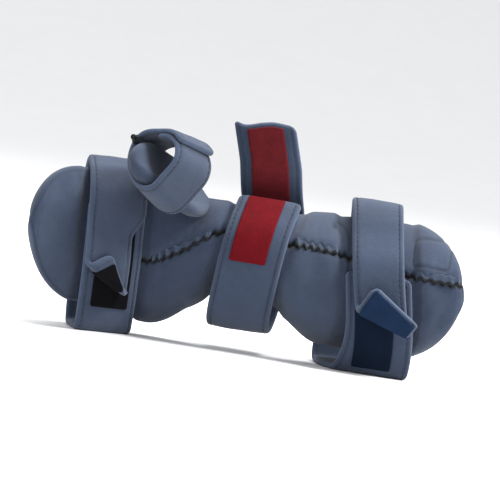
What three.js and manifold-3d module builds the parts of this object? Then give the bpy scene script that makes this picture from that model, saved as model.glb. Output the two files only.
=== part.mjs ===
// A resting hand splint for the right hand: a padded pan that bends with the wrist and the fingers, with a
// padded thumb rest, held by four fabric straps. It lies on its little-finger edge, thumb side up.
// Millimetres. X runs from the fingers to the forearm, Y from the palm side to the back, Z up to the thumb.
// While it is built, the origin is at the wrist; the last lines set the group down with its base on z = 0.
import * as THREE from "three";
import { mergeVertices } from "three/addons/utils/BufferGeometryUtils.js";
import Module from "manifold-3d";

const wasm = await Module();
wasm.setup();

// Driving dimensions of the pan
const HAND_LENGTH = 159.5; // wrist to the finger end, measured straight
const FOREARM_LENGTH = 167; // wrist to the forearm end
const FINGER_WIDTH = 110; // across the finger pan
const WRIST_WIDTH = 73; // across the waist at the wrist
const FOREARM_WIDTH = 109; // across the forearm trough
const FINGER_END = 47.5; // length of the rounded finger end
const FOREARM_END = 55; // length of the rounded forearm end
const PALM_LIFT = 22; // how far the palm bends back from the forearm's line
const FINGER_DROP = 50; // how far the finger end bends forward from the palm
const TROUGH_DEPTH = 44; // depth of the forearm trough
const PALM_DEPTH = 24; // depth of the hollow that holds the palm and the fingers
const PAD = 13; // thickness of the padded cover
const DENT = 2.4; // how far a strap presses the padding in
const DENT_EDGE = 6.5; // length of the padding's way back up beside a strap

// Driving dimensions of the thumb rest
const THUMB_REST_WIDTH = 42;
const THUMB_REST_PAD = 13;
const THUMB_REST_REACH = 29; // from the middle of the thumb strap to the rounded tip
const THUMB_HOLLOW = 25; // free way through the thumb strap, across the rest
const THUMB_REST_SINK = 5; // how far the rest comes into that way's round

// Driving dimensions of the straps
const STRAP_WIDTH = 48;
const STRAP = 5; // thickness of the padded strap
const FINGER_STRAP_WIDTH = 51;
const FOREARM_STRAP_WIDTH = 50;
const FINGER_CLOSING = 40; // width of the finger strap's closing end
const CLOSING_WIDTH = 39; // of the forearm strap's closing end
const FLARE = 9; // how far the forearm strap widens towards the wrist where it lies on the floor
const THUMB_STRAP_WIDTH = 40;
const THUMB_STRAP = 4;
const THUMB_TAPER = 0.1; // how much narrower the thumb strap's way is at its front edge, as a share
const CORNER = 5; // rounding of a strap's cut corners
const PATCH = 1.2; // thickness of the hook and loop patches
const PATCH_BORDER = 7; // bare strap left on each side of a patch
const LABEL = 1; // thickness of the label
const LABEL_LENGTH = 44;
const LABEL_WIDTH = 24;
const PATCH_END = 3; // bare strap left beyond a patch's end
const CLEAR = 0.4; // air between pieces that touch
const FLOOR = -83; // level that the splint lies on, below the wrist's middle
const RUFFLE = 1.4; // thickness of the seam's gathered edge
const RUFFLE_WIDTH = 6;
const RUFFLE_PITCH = 6.5; // one scallop of the gathered edge
const RUFFLE_WAVE = 0.9; // how far a scallop stands up and out
const SEAM_STOP = 6; // how far the gathers end short of a strap
const SEAM_END = 5; // and of the forearm end

// Driving dimensions of the free rounds inside the straps, from the pan's outer face to the back
const FINGER_HOLLOW = 50;
const WRIST_HOLLOW = 62;
const FOREARM_HOLLOW = 74;
// Where each round lies: back as a share of its depth, high and up as shares of the pan's width there. The
// floor flattens the finger and forearm rounds, which would reach a little below it.
const ROUNDS = {
  finger: { deep: FINGER_HOLLOW, back: 0.42, width: FINGER_WIDTH, high: 1.27, up: -0.25 },
  wrist: { deep: WRIST_HOLLOW, back: 0.484, width: WRIST_WIDTH, high: 1.288, up: -0.192 },
  forearm: { deep: FOREARM_HOLLOW, back: 0.44, width: FOREARM_WIDTH, high: 1.25, up: -0.25 },
};

// Sections of the pan in three stretches. along: share of the hand length (negative) or forearm length;
// top and bottom: shares of the width; lift: share of the palm lift; drop: share of the finger drop;
// thumb and little: how far each side rises, as shares of the depth; turn: how far the wall turns up, in
// degrees.
const STRETCHES = [
  {
    width: FINGER_WIDTH,
    depth: PALM_DEPTH,
    rows: [
      { along: -1.0, top: 0.41, bottom: -0.61, lift: 1, drop: 1, thumb: 0.42, little: 0.48, turn: 52 },
      { along: -0.7, top: 0.385, bottom: -0.61, lift: 1, drop: 0.44, thumb: 0.5, little: 0.6, turn: 55 },
      { along: -0.56, top: 0.37, bottom: -0.63, lift: 1, drop: 0.14, thumb: 0.58, little: 0.78, turn: 58 },
      { along: -0.42, top: 0.35, bottom: -0.68, lift: 1, drop: 0, thumb: 0.68, little: 1.3, turn: 74 },
      { along: -0.27, top: 0.28, bottom: -0.535, lift: 0.82, drop: 0, thumb: 0.75, little: 1.4, turn: 76 },
    ],
  },
  {
    width: WRIST_WIDTH,
    depth: TROUGH_DEPTH,
    rows: [
      { along: -0.11, top: 0.42, bottom: -0.53, lift: 0.42, drop: 0, thumb: 0.55, little: 0.75, turn: 78 },
      { along: 0.04, top: 0.43, bottom: -0.57, lift: 0.1, drop: 0, thumb: 0.68, little: 0.7, turn: 80 },
      { along: 0.2, top: 0.415, bottom: -0.7, lift: 0, drop: 0, thumb: 0.82, little: 0.74, turn: 84 },
    ],
  },
  {
    width: FOREARM_WIDTH,
    depth: TROUGH_DEPTH,
    rows: [
      { along: 0.37, top: 0.295, bottom: -0.62, lift: 0, drop: 0, thumb: 0.95, little: 0.92, turn: 88 },
      { along: 0.55, top: 0.325, bottom: -0.665, lift: 0, drop: 0, thumb: 1, little: 1, turn: 88 },
      { along: 1.0, top: 0.325, bottom: -0.665, lift: 0, drop: 0, thumb: 0.8, little: 0.86, turn: 84 },
    ],
  },
];
// The rounded ends: middle and reach up and down as shares of the width, and how square each quarter is
const ENDS = {
  finger: { middle: -0.07, square: [2.7, 1.85] },
  forearm: { middle: -0.155, square: [2.2, 2.0] },
};
// The long seam, as shares of the hand or forearm length and of the wrist's width
const SEAM = [
  { along: -0.62, height: -0.36 },
  { along: -0.44, height: -0.31 },
  { along: -0.27, height: -0.14 },
  { along: -0.19, height: -0.02 },
  { along: -0.09, height: 0.08 },
  { along: 0.17, height: 0.06 },
  { along: 0.44, height: 0.03 },
  { along: 0.74, height: -0.06 },
  { along: 1.0, height: -0.07 },
];

const radians = THREE.MathUtils.degToRad;
const along = (share) => share * (share < 0 ? HAND_LENGTH : FOREARM_LENGTH);

// A smooth curve through rows of (x, y) that never overshoots: cubic pieces with limited slopes.
function curve(rows) {
  const x = rows.map((r) => r[0]);
  const y = rows.map((r) => r[1]);
  const slope = x.slice(1).map((v, i) => (y[i + 1] - y[i]) / (v - x[i]));
  const tangent = x.map((_, i) => {
    const before = slope[Math.max(i - 1, 0)];
    const after = slope[Math.min(i, slope.length - 1)];
    return before * after <= 0 ? 0 : (2 * before * after) / (before + after);
  });
  return (at) => {
    let i = x.findIndex((v) => v > at) - 1;
    if (i < -1) i = x.length - 2;
    i = Math.max(i, 0);
    const h = x[i + 1] - x[i];
    const t = THREE.MathUtils.clamp((at - x[i]) / h, 0, 1);
    const s = 1 - t;
    return (
      y[i] * (1 + 2 * t) * s * s +
      y[i + 1] * (3 - 2 * t) * t * t +
      h * t * s * (tangent[i] * s - tangent[i + 1] * t)
    );
  };
}

const sections = STRETCHES.flatMap(({ width, depth, rows }) => rows.map((row) => ({ width, depth, ...row })));
const column = (value) => curve(sections.map((r) => [along(r.along), value(r)]));
const pan = {
  top: column((r) => r.top * r.width),
  bottom: column((r) => r.bottom * r.width),
  level: column((r) => r.lift * PALM_LIFT - r.drop * FINGER_DROP),
  thumbRise: column((r) => r.thumb * r.depth),
  littleRise: column((r) => r.little * r.depth),
  turn: column((r) => radians(r.turn)),
};
const seamHeight = curve(SEAM.map((r) => [along(r.along), r.height * WRIST_WIDTH]));

// One quarter of a rounded end: how much of the width is left at this share of the end's length.
const rounding = (share, square) => Math.pow(Math.max(1 - Math.pow(share, square), 0), 1 / square);

// The pan's outline at x: its upper and lower edge.
function outline(x) {
  let top = pan.top(x);
  let bottom = pan.bottom(x);
  const ends = [
    [ENDS.finger, (-HAND_LENGTH + FINGER_END - x) / FINGER_END, FINGER_WIDTH],
    [ENDS.forearm, (x - FOREARM_LENGTH + FOREARM_END) / FOREARM_END, FOREARM_WIDTH],
  ];
  for (const [end, share, width] of ends) {
    if (share <= 0) continue;
    const middle = end.middle * width;
    const s = Math.min(share, 1);
    top = middle + (top - middle) * rounding(s, end.square[0]);
    bottom = middle + (bottom - middle) * rounding(s, end.square[1]);
  }
  return { top, bottom };
}

// The bent middle line of the pan at x: its level, its direction and the way to the back.
function spine(x) {
  const step = 0.5;
  const direction = new THREE.Vector3(2 * step, pan.level(x + step) - pan.level(x - step), 0).normalize();
  return {
    origin: new THREE.Vector3(x, pan.level(x), 0),
    direction,
    back: new THREE.Vector3(-direction.y, direction.x, 0),
  };
}

// A section of the pan at x as two quarter ellipses that share a flat middle. side runs from -1 to 1.
function section(x) {
  const { top, bottom } = outline(x);
  const turn = pan.turn(x);
  const middle = (top + bottom) / 2;
  const wall = (PAD / 2) * Math.sin(turn);
  const half = Math.max((top - bottom) / 2 - wall, (top - bottom) * 0.3);
  const full = (pan.top(x) - pan.bottom(x)) / 2;
  const share = Math.min((top - bottom) / 2 / full, 1);
  const rise = (side) => (side > 0 ? pan.thumbRise(x) : pan.littleRise(x)) * share * share;
  const at = (side) => {
    const angle = side * turn;
    const z = (half * Math.sin(angle)) / Math.sin(turn);
    const up = (rise(side) * (1 - Math.cos(angle))) / (1 - Math.cos(turn));
    const dz = (half * Math.cos(angle)) / Math.sin(turn);
    const du = (rise(side) * Math.sin(angle)) / (1 - Math.cos(turn));
    const long = Math.hypot(dz, du) || 1;
    return { z: middle + z, up, nz: du / long, nu: -dz / long, speed: long * turn };
  };
  const steps = 12;
  const length = [-1, 1].map((sign) => {
    let sum = 0;
    for (let i = 0; i < steps; i++) sum += at((sign * (i + 0.5)) / steps).speed / steps;
    return sum;
  });
  return { at, length: (length[0] + length[1]) / 2 };
}

// A band across the pan under a strap: 1 inside the strap, 0 beyond it, with a soft edge.
function pressed(distance, half) {
  const start = half + 0.23 * DENT_EDGE;
  return 1 - THREE.MathUtils.smoothstep(Math.abs(distance), start, start + DENT_EDGE);
}

// A point of the pan: x along it, side across it from -1 to 1, out measured from its middle surface.
function panPoint(x, side, out, cut = section(x)) {
  const { z, up, nz, nu } = cut.at(side);
  const { origin, back } = spine(x);
  return origin
    .addScaledVector(back, up + out * nu)
    .add(new THREE.Vector3(0, 0, z + out * nz));
}

// The rest of the thumb, a tongue that leaves the pan's upper edge and comes forward.
// Its frame: forward along the thumb, inner towards the pan's fingers, down across it.
const forward = new THREE.Vector3(-0.58, -0.76, 0.3).normalize();
const inner = new THREE.Vector3(-0.7, 0.43, -0.57);
inner.addScaledVector(forward, -inner.dot(forward)).normalize();
const across = new THREE.Vector3().crossVectors(forward, inner);
const thumbMiddle = new THREE.Vector3(-0.405 * HAND_LENGTH, -0.9 * PALM_LIFT, 0.45 * FINGER_WIDTH);
const restSeat = (THUMB_HOLLOW + THUMB_REST_PAD) / 2 - THUMB_REST_SINK;
const restTip = thumbMiddle
  .clone()
  .addScaledVector(inner, restSeat)
  .addScaledVector(forward, THUMB_REST_REACH);
const restRoot = panPoint(-0.24 * HAND_LENGTH, 0.78, 0);
const restPath = new THREE.CubicBezierCurve3(
  restRoot,
  restRoot.clone().addScaledVector(forward, 0.5 * THUMB_REST_REACH),
  restTip.clone().addScaledVector(forward, -1.8 * THUMB_REST_REACH),
  restTip,
);

// The outline of a padded sheet's cut: w across it, h through it, round at both edges.
function rim(half, thick, flats, rounds) {
  const r = Math.min(thick / 2, half * 0.98);
  const flat = half - r;
  const points = [];
  for (const sign of [1, -1]) {
    for (let i = 0; i < flats; i++) points.push([sign * flat * ((2 * i) / flats - 1), (sign * thick) / 2]);
    for (let i = 0; i < rounds; i++) {
      const angle = (Math.PI * i) / rounds;
      points.push([sign * (flat + r * Math.sin(angle)), (sign * thick * Math.cos(angle)) / 2]);
    }
  }
  return points;
}

// A closed geometry through rings of points; the first and the last ring close on themselves.
function loft(rings) {
  const count = rings[0].length;
  const index = [];
  for (let i = 0; i + 1 < rings.length; i++) {
    for (let j = 0; j < count; j++) {
      const k = (j + 1) % count;
      const [a, b, c, d] = [i * count + j, i * count + k, (i + 1) * count + k, (i + 1) * count + j];
      index.push(a, b, c, a, c, d);
    }
  }
  return closed(rings.flat().flatMap((p) => [p.x, p.y, p.z]), index);
}

// Merges equal vertices, drops the triangles that collapsed and turns the faces out.
function closed(positions, index) {
  const raw = new THREE.BufferGeometry();
  raw.setAttribute("position", new THREE.Float32BufferAttribute(positions, 3));
  raw.setIndex(index);
  const merged = mergeVertices(raw, 2e-3);
  const faces = merged.index.array;
  const kept = [];
  for (let i = 0; i < faces.length; i += 3) {
    const [a, b, c] = [faces[i], faces[i + 1], faces[i + 2]];
    if (a !== b && b !== c && a !== c) kept.push(a, b, c);
  }
  merged.setIndex(kept);
  return turnedOut(merged);
}

function turnedOut(geometry) {
  const p = geometry.getAttribute("position");
  const faces = [...geometry.index.array];
  const corner = (i) => new THREE.Vector3().fromBufferAttribute(p, i);
  let volume = 0;
  for (let i = 0; i < faces.length; i += 3) {
    volume += corner(faces[i]).dot(corner(faces[i + 1]).cross(corner(faces[i + 2])));
  }
  if (volume < 0) {
    for (let i = 0; i < faces.length; i += 3) [faces[i + 1], faces[i + 2]] = [faces[i + 2], faces[i + 1]];
    geometry.setIndex(faces);
  }
  return geometry;
}

const solidOf = (geometry) =>
  new wasm.Manifold(
    new wasm.Mesh({
      numProp: 3,
      vertProperties: new Float32Array(geometry.getAttribute("position").array),
      triVerts: new Uint32Array(geometry.index.array),
    }),
  );

function geometryOf(solid) {
  const mesh = solid.getMesh();
  const geometry = new THREE.BufferGeometry();
  geometry.setAttribute("position", new THREE.BufferAttribute(mesh.vertProperties, 3));
  geometry.setIndex([...mesh.triVerts]);
  return geometry;
}

// How much of a rounded edge's thickness stands at this distance from the end.
function swell(distance, radius) {
  const t = THREE.MathUtils.clamp(1 - distance / radius, 0, 1);
  return Math.sqrt(1 - t * t);
}

// Stations from a to b, closer together near both ends.
function stations(a, b, count, closeness = 0.75) {
  return Array.from({ length: count + 1 }, (_, i) => {
    const t = i / count;
    const eased = (1 - Math.cos(Math.PI * t)) / 2;
    return a + (b - a) * (t + (eased - t) * closeness);
  });
}

// Straps, each in its own frame: its middle on the pan's bent line, lean: how far it slants as it rises,
// above and below: how far it slants on its way to the back, over the thumb side and under the other.
const STRAPS = {
  finger: { x: -0.625 * HAND_LENGTH, lean: -0.06, above: 0.52, below: 0.45, half: FINGER_STRAP_WIDTH / 2 },
  wrist: { x: 0.045 * FOREARM_LENGTH, lean: 0.11, above: 0, below: 0, half: STRAP_WIDTH / 2 },
  forearm: { x: 0.6 * FOREARM_LENGTH, lean: -0.15, above: 0, below: -0.38, half: FOREARM_STRAP_WIDTH / 2 },
};

// How far a strap's middle is moved along its frame at a point of its way round.
function slide({ lean = 0, above = 0, below = 0 }, back, up) {
  const down = THREE.MathUtils.smoothstep(-up, 0, -FLOOR);
  return lean * up + back * (above + (below - above) * down);
}

// How far a point lies from a strap's middle, along the strap's frame.
function fromStrap(point, strap, { origin, direction, back } = spine(strap.x)) {
  const d = point.clone().sub(origin);
  return d.dot(direction) - slide(strap, d.dot(back), d.z);
}

// How deep the straps press into the outer face at a point of it.
function dent(point) {
  const depths = Object.values(STRAPS).map((strap) => DENT * pressed(fromStrap(point, strap), strap.half));
  return Math.max(...depths);
}

const panRings = stations(-HAND_LENGTH, FOREARM_LENGTH, 54, 0.5).map((x) => {
  const cut = section(x);
  const edge = Math.min(x + HAND_LENGTH, FOREARM_LENGTH - x);
  const thick = Math.min(PAD * swell(edge, PAD / 2), 1.6 * cut.length);
  return rim(cut.length, thick, 12, 4).map(([w, h]) => {
    const side = w / Math.max(cut.length, 1e-6);
    const share = Math.max((2 * h) / PAD, 0);
    return panPoint(x, side, h - share * dent(panPoint(x, side, PAD / 2, cut)), cut);
  });
});

// A point of the thumb rest: t along its path from 0 to 1, w across it, h through it.
function restPoint(t, w, h) {
  const hollow = 0.12 * THUMB_REST_WIDTH;
  const share = w / (THUMB_REST_WIDTH / 2);
  return restPath
    .getPoint(t)
    .addScaledVector(across, w)
    .addScaledVector(inner, h - hollow * share * share);
}

// The rest's cut at t: narrower at its root, with a round tip.
function restCut(t) {
  const length = restPath.getLength();
  const edge = Math.min(t, 1 - t) * length;
  const end = THUMB_REST_WIDTH * 0.42;
  const tip = rounding(THREE.MathUtils.clamp(1 - ((1 - t) * length) / end, 0, 1), 2.2);
  const root = 0.4 + 0.6 * THREE.MathUtils.smoothstep(t, 0, 0.5);
  const half = (THUMB_REST_WIDTH / 2) * tip * root;
  const thick = Math.min(THUMB_REST_PAD * swell(edge, THUMB_REST_PAD / 2), 1.6 * half);
  return rim(half, thick, 6, 4).map(([w, h]) => restPoint(t, w, h));
}

const thumbRest = () => solidOf(loft(stations(0, 1, 14, 0.6).map(restCut)));

// The way round a strap's frame: the farthest of the given points in every direction, plus the strap's seat.
// It starts on the palm side and runs by the little-finger side and the back to the thumb side.
function loopRound(points, seat, floor = -Infinity) {
  const fan = Array.from({ length: 240 }, (_, i) => {
    const angle = radians(i * 1.5);
    const ray = [-Math.cos(angle), -Math.sin(angle)];
    let best = points[0];
    for (const p of points) if (p[0] * ray[0] + p[1] * ray[1] > best[0] * ray[0] + best[1] * ray[1]) best = p;
    return [best[0] + seat * ray[0], Math.max(best[1] + seat * ray[1], floor)];
  });
  return route([...fan, fan[0]]);
}

// A line of points with its running length, read at any distance along it.
function route(points) {
  const run = [0];
  for (let i = 1; i < points.length; i++) {
    run.push(run[i - 1] + Math.hypot(points[i][0] - points[i - 1][0], points[i][1] - points[i - 1][1]));
  }
  const length = run[run.length - 1];
  const at = (s) => {
    const t = THREE.MathUtils.clamp(s, 0, length);
    let i = run.findIndex((v) => v > t) - 1;
    if (i < 0) i = points.length - 2;
    const share = (t - run[i]) / (run[i + 1] - run[i] || 1);
    return points[i].map((v, k) => v + (points[i + 1][k] - v) * share);
  };
  // the way across the line, to its right
  const across = (s, spread) => {
    const a = at(Math.max(s - spread, 0));
    const b = at(Math.min(s + spread, length));
    const long = Math.hypot(b[0] - a[0], b[1] - a[1]) || 1;
    return [(b[1] - a[1]) / long, (a[0] - b[0]) / long];
  };
  return { at, across, length };
}

// A strap's route as (back, up, sideways): round the loop from one distance to another, lifted where it
// passes over itself, then along a free tail whose rows turn and slide it.
function strapRoute(loop, { from, to, over = 0, slant = {}, tail = [] }) {
  const step = 2.5;
  const wrap = (s) => ((s % loop.length) + loop.length) % loop.length;
  const points = [];
  const count = Math.round((to - from) / step);
  for (let i = 0; i <= count; i++) {
    const s = from + ((to - from) * i) / count;
    const here = loop.at(wrap(s));
    const a = loop.at(wrap(s - 3));
    const b = loop.at(wrap(s + 3));
    const long = Math.hypot(b[0] - a[0], b[1] - a[1]) || 1;
    const lift = over * THREE.MathUtils.smoothstep(s, from + loop.length - 34, from + loop.length - 4);
    const back = here[0] + (lift * (b[1] - a[1])) / long;
    const up = here[1] - (lift * (b[0] - a[0])) / long;
    points.push([back, up, slide(slant, back, up)]);
  }
  let [last, before] = [points[points.length - 1], points[points.length - 2]];
  let angle = Math.atan2(last[1] - before[1], last[0] - before[0]);
  for (const { length, turn, slide } of tail) {
    const steps = Math.max(Math.round(length / step), 1);
    for (let i = 0; i < steps; i++) {
      angle += radians(turn) / steps;
      last = [
        last[0] + (Math.cos(angle) * length) / steps,
        last[1] + (Math.sin(angle) * length) / steps,
        last[2] + slide / steps,
      ];
      points.push(last);
    }
  }
  return route(points);
}

// A strap's surface: s along its route, w across it, h out of it. A fold rolls what lies beyond a slanting
// line over a round of its own radius and then carries it straight on. A frame may narrow along its way.
function strapSurface(frame, path, fold) {
  return (s, w, h) => {
    let [run, wide, out] = [s, w, h];
    const g = fold ? [Math.cos(fold.slant), Math.sin(fold.slant)] : [1, 0];
    const beyond = fold ? (s - fold.at) * g[0] + w * g[1] : 0;
    if (beyond > 0) {
      const angle = Math.min(beyond / fold.radius, fold.bend);
      const rest = beyond - angle * fold.radius;
      const moved = fold.radius * Math.sin(angle) + rest * Math.cos(angle) - h * Math.sin(angle) - beyond;
      run = s + moved * g[0];
      wide = w + moved * g[1];
      out = fold.radius * (1 - Math.cos(angle)) + rest * Math.sin(angle) + h * Math.cos(angle);
    }
    const here = path.at(run);
    const normal = path.across(run, 4);
    const share = frame.narrowed ? frame.narrowed(wide) : 1;
    return frame.origin
      .clone()
      .addScaledVector(frame.direction, wide + here[2])
      .addScaledVector(frame.back, share * (here[0] + out * normal[0]))
      .addScaledVector(frame.up, share * (here[1] + out * normal[1]));
  };
}

// A strip of a strap or patch from one distance to another, with rounded corners and edges. Its cross lines
// turn to lie along a fold where there is one.
function strip(surface, options) {
  const { from, to, half, thick, out = 0, shift = 0, corner = CORNER, steps, flats = 3, fold } = options;
  const halfAt = typeof half === "function" ? half : () => half;
  const shiftAt = typeof shift === "function" ? shift : () => shift;
  const rings = stations(from, to, steps, 0.35).map((s) => {
    const edge = Math.min(s - from, to - s);
    const cut = corner * (1 - swell(edge, corner));
    const turned = fold ? THREE.MathUtils.smoothstep(s, fold.at - 70, fold.at - 15) : 0;
    const near = Math.min(turned * Math.tan(-(fold?.slant ?? 0)), (0.75 * (to - s)) / halfAt(s));
    return rim(halfAt(s) - cut, thick * swell(edge, thick / 2), flats, 2).map(([w, h]) =>
      surface(s + near * w, w + shiftAt(s), out + h),
    );
  });
  return loft(rings);
}

// Points of the pan between two of its rings that lie under a strap, as (back, up) in the strap's frame.
function panUnder(frame, strap) {
  const points = [];
  for (let i = 0; i + 1 < panRings.length; i++) {
    for (let step = 0; step < 1; step += 0.2) {
      panRings[i].forEach((start, j) => {
        const point = start.clone().lerp(panRings[i + 1][j], step);
        if (Math.abs(fromStrap(point, strap, frame)) > strap.half + 1) return;
        points.push([point.clone().sub(frame.origin).dot(frame.back), point.z]);
      });
    }
  }
  return points;
}

// The round of free space that a loop keeps open, as points in its frame.
function roundSpace(back, up, deep, high) {
  return Array.from({ length: 72 }, (_, i) => {
    const angle = radians(i * 5);
    return [back + (deep / 2) * Math.cos(angle), up + (high / 2) * Math.sin(angle)];
  });
}

// The first distance along a strap at which it has come down to this level.
function reaches(path, level) {
  let s = 0;
  while (s < path.length && path.at(s)[1] > level) s += 0.5;
  return s;
}

function makeStrap(key, options) {
  const strap = STRAPS[key];
  const { deep, back, width, high, up } = ROUNDS[key];
  const frame = { ...spine(strap.x), up: new THREE.Vector3(0, 0, 1) };
  const around = [...panUnder(frame, strap), ...roundSpace(back * deep, up * width, deep, high * width)];
  const loop = loopRound(around, CLEAR + STRAP / 2, FLOOR + STRAP / 2);
  const chosen = options(loop);
  const path = strapRoute(loop, { over: STRAP + PATCH + 2 * CLEAR, slant: strap, ...chosen });
  const fold = chosen.fold && { ...chosen.fold, at: path.length - chosen.fold.left };
  return { surface: strapSurface(frame, path, fold), path, loop, fold, half: strap.half };
}

const finger = makeStrap("finger", (loop) => ({
  from: -0.63 * FINGER_STRAP_WIDTH,
  to: loop.length + 0.69 * FINGER_STRAP_WIDTH,
  fold: { left: 0.245 * FINGER_STRAP_WIDTH, slant: radians(-29), radius: 0.6 * STRAP, bend: radians(168) },
}));
// The finger strap narrows on one side before it closes, so that its other edge runs straight on.
const narrowing = (s) =>
  ((FINGER_STRAP_WIDTH - FINGER_CLOSING) / 2) *
  THREE.MathUtils.smoothstep(
    s,
    finger.loop.length + 0.1 * FINGER_STRAP_WIDTH,
    finger.loop.length + 0.45 * FINGER_STRAP_WIDTH,
  );
const wrist = makeStrap("wrist", (loop) => ({
  from: -1.04 * STRAP_WIDTH,
  to: 0.7 * loop.length,
  tail: [
    { length: 0.7 * STRAP_WIDTH, turn: -40, slide: -0.12 * STRAP_WIDTH },
    { length: 0.69 * STRAP_WIDTH, turn: 8, slide: -0.2 * STRAP_WIDTH },
  ],
}));
const forearm = makeStrap("forearm", (loop) => ({
  from: -0.4 * FOREARM_STRAP_WIDTH,
  to: loop.length + 0.66 * FOREARM_STRAP_WIDTH,
  fold: { left: 0.54 * FOREARM_STRAP_WIDTH, slant: radians(-19), radius: 0.8 * STRAP, bend: radians(166) },
}));
// The forearm strap is broad at its sewn part, flares where it lies on the floor and is narrower where it
// closes. The flare is a bell curve along the strap, centred a little past where it meets the floor.
const forearmBase = reaches(forearm.path, FLOOR + 0.6 * STRAP);
const flareMiddle = forearmBase + 0.28 * FOREARM_STRAP_WIDTH;
const flareReach = 0.6 * FOREARM_STRAP_WIDTH;
const flare = (s) => (FLARE / 2) * Math.exp(-Math.pow((s - flareMiddle) / flareReach, 2));
const forearmHalf = (s) =>
  FOREARM_STRAP_WIDTH / 2 +
  flare(s) -
  ((FOREARM_STRAP_WIDTH - CLOSING_WIDTH) / 2) *
    THREE.MathUtils.smoothstep(s, 0.5 * forearm.loop.length, 0.75 * forearm.loop.length);

// The thumb strap goes round the rest and the free way beside it, and ends on the upper face.
const thumbFrame = {
  origin: thumbMiddle,
  direction: forward,
  back: inner,
  up: across.clone().negate(),
  narrowed: (w) => 1 - (THUMB_TAPER * w) / (THUMB_STRAP_WIDTH / 2),
};
const restUnder = [];
for (let t = 0; t <= 1; t += 0.02) {
  for (const point of restCut(t)) {
    const d = point.sub(thumbMiddle);
    if (Math.abs(d.dot(forward)) > THUMB_STRAP_WIDTH / 2 + 3) continue;
    const share = thumbFrame.narrowed(d.dot(forward));
    restUnder.push([d.dot(inner) / share, -d.dot(across) / share]);
  }
}
const thumbBack = restSeat - (THUMB_REST_PAD + THUMB_HOLLOW) / 2 - 1;
const thumbRound = roundSpace(thumbBack, 0, THUMB_HOLLOW, 1.1 * THUMB_HOLLOW);
const thumbLoop = loopRound([...restUnder, ...thumbRound], 1.4 * CLEAR + THUMB_STRAP / 2);
const thumbPath = strapRoute(thumbLoop, {
  from: -0.65 * THUMB_STRAP_WIDTH,
  to: thumbLoop.length - 0.05 * THUMB_STRAP_WIDTH,
  over: THUMB_STRAP + CLEAR,
});
const thumbSurface = strapSurface(thumbFrame, thumbPath);

// The gathered edge along the long seam, between two shares of the length.
function ruffle(from, to) {
  const surface = (x, w, h) => {
    const turns = ((x - from) / RUFFLE_PITCH) * 2 * Math.PI;
    const cut = section(x);
    const z = seamHeight(x) + w + RUFFLE_WAVE * Math.cos(turns);
    const { top, bottom } = outline(x);
    const turn = pan.turn(x);
    const half = (top - bottom) / 2 - (PAD / 2) * Math.sin(turn);
    const sine = ((z - (top + bottom) / 2) * Math.sin(turn)) / half;
    const side = Math.asin(THREE.MathUtils.clamp(sine, -0.99, 0.99)) / turn;
    const wave = RUFFLE_WAVE * (1 + Math.sin(turns)) * THREE.MathUtils.clamp(0.5 + w / RUFFLE_WIDTH, 0, 1);
    const face = PAD / 2 - dent(panPoint(x, side, PAD / 2, cut));
    return panPoint(x, side, face + 2 * CLEAR + RUFFLE / 2 + wave + h, cut);
  };
  const steps = Math.round(((to - from) / RUFFLE_PITCH) * 6);
  return strip(surface, { from, to, half: RUFFLE_WIDTH / 2, thick: RUFFLE, corner: 2, steps, flats: 1 });
}

const group = new THREE.Group();
function add(name, geometry, colour, roughness) {
  const material = new THREE.MeshStandardMaterial({ color: colour, roughness, metalness: 0 });
  const mesh = new THREE.Mesh(geometry, material);
  mesh.name = name;
  group.add(mesh);
}

const FABRIC = 0x4c5d73;
const BRIGHT_RED = 0x8e1220;
const DARK_RED = 0x6a1f28;
const NAVY = 0x14263c;
const BLACK = 0x0c0c12;
const WHITE = 0xe6e4e0;

const edge = STRAP / 2 + CLEAR + PATCH / 2; // from a strap's middle to the middle of its patch

add("padded_pan", geometryOf(solidOf(loft(panRings)).add(thumbRest())), FABRIC, 0.9);
// the seam's gathers show between the straps, each stretch ending a little short of them
function beside(key, side) {
  const { x, half } = STRAPS[key];
  return x + side * (half + SEAM_STOP) * spine(x).direction.x;
}
const palmSeam = [beside("finger", 1) + SEAM_STOP, beside("wrist", -1) - SEAM_STOP / 3];
add("seam_ruffle_palm", ruffle(...palmSeam), FABRIC, 0.9);
add("seam_ruffle_forearm", ruffle(beside("wrist", 1), beside("forearm", -1)), FABRIC, 0.9);
const endSeam = [beside("forearm", 1) - SEAM_STOP / 3, FOREARM_LENGTH - SEAM_END];
add("seam_ruffle_end", ruffle(...endSeam), FABRIC, 0.9);

// a whole strap from its first end to its last
const whole = ({ surface, path, fold, half }, more) =>
  strip(surface, { from: 0, to: path.length, half, thick: STRAP, fold, ...more });
add(
  "finger_strap",
  whole(finger, {
    half: (s) => finger.half - narrowing(s),
    shift: (s) => -narrowing(s),
    steps: 64,
    flats: 4,
  }),
  FABRIC,
  0.9,
);
add("wrist_strap", whole(wrist, { steps: 56 }), FABRIC, 0.9);
add(
  "forearm_strap",
  whole(forearm, { half: forearmHalf, shift: (s) => -flare(s), steps: 72, flats: 4 }),
  FABRIC,
  0.9,
);
add(
  "thumb_strap",
  strip(thumbSurface, {
    from: 0,
    to: thumbPath.length,
    half: THUMB_STRAP_WIDTH / 2,
    thick: THUMB_STRAP,
    steps: 40,
  }),
  FABRIC,
  0.9,
);

// a thin patch on a strap
const patch = (strap, more) => strip(strap.surface, { thick: PATCH, out: edge, corner: 1.5, ...more });
add(
  "finger_hook_patch",
  patch(finger, {
    from: PATCH_END,
    to: reaches(finger.path, -0.57 * FINGER_WIDTH),
    half: FINGER_STRAP_WIDTH / 2 - 1.3 * PATCH_BORDER,
    steps: 18,
  }),
  BLACK,
  0.95,
);
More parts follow.
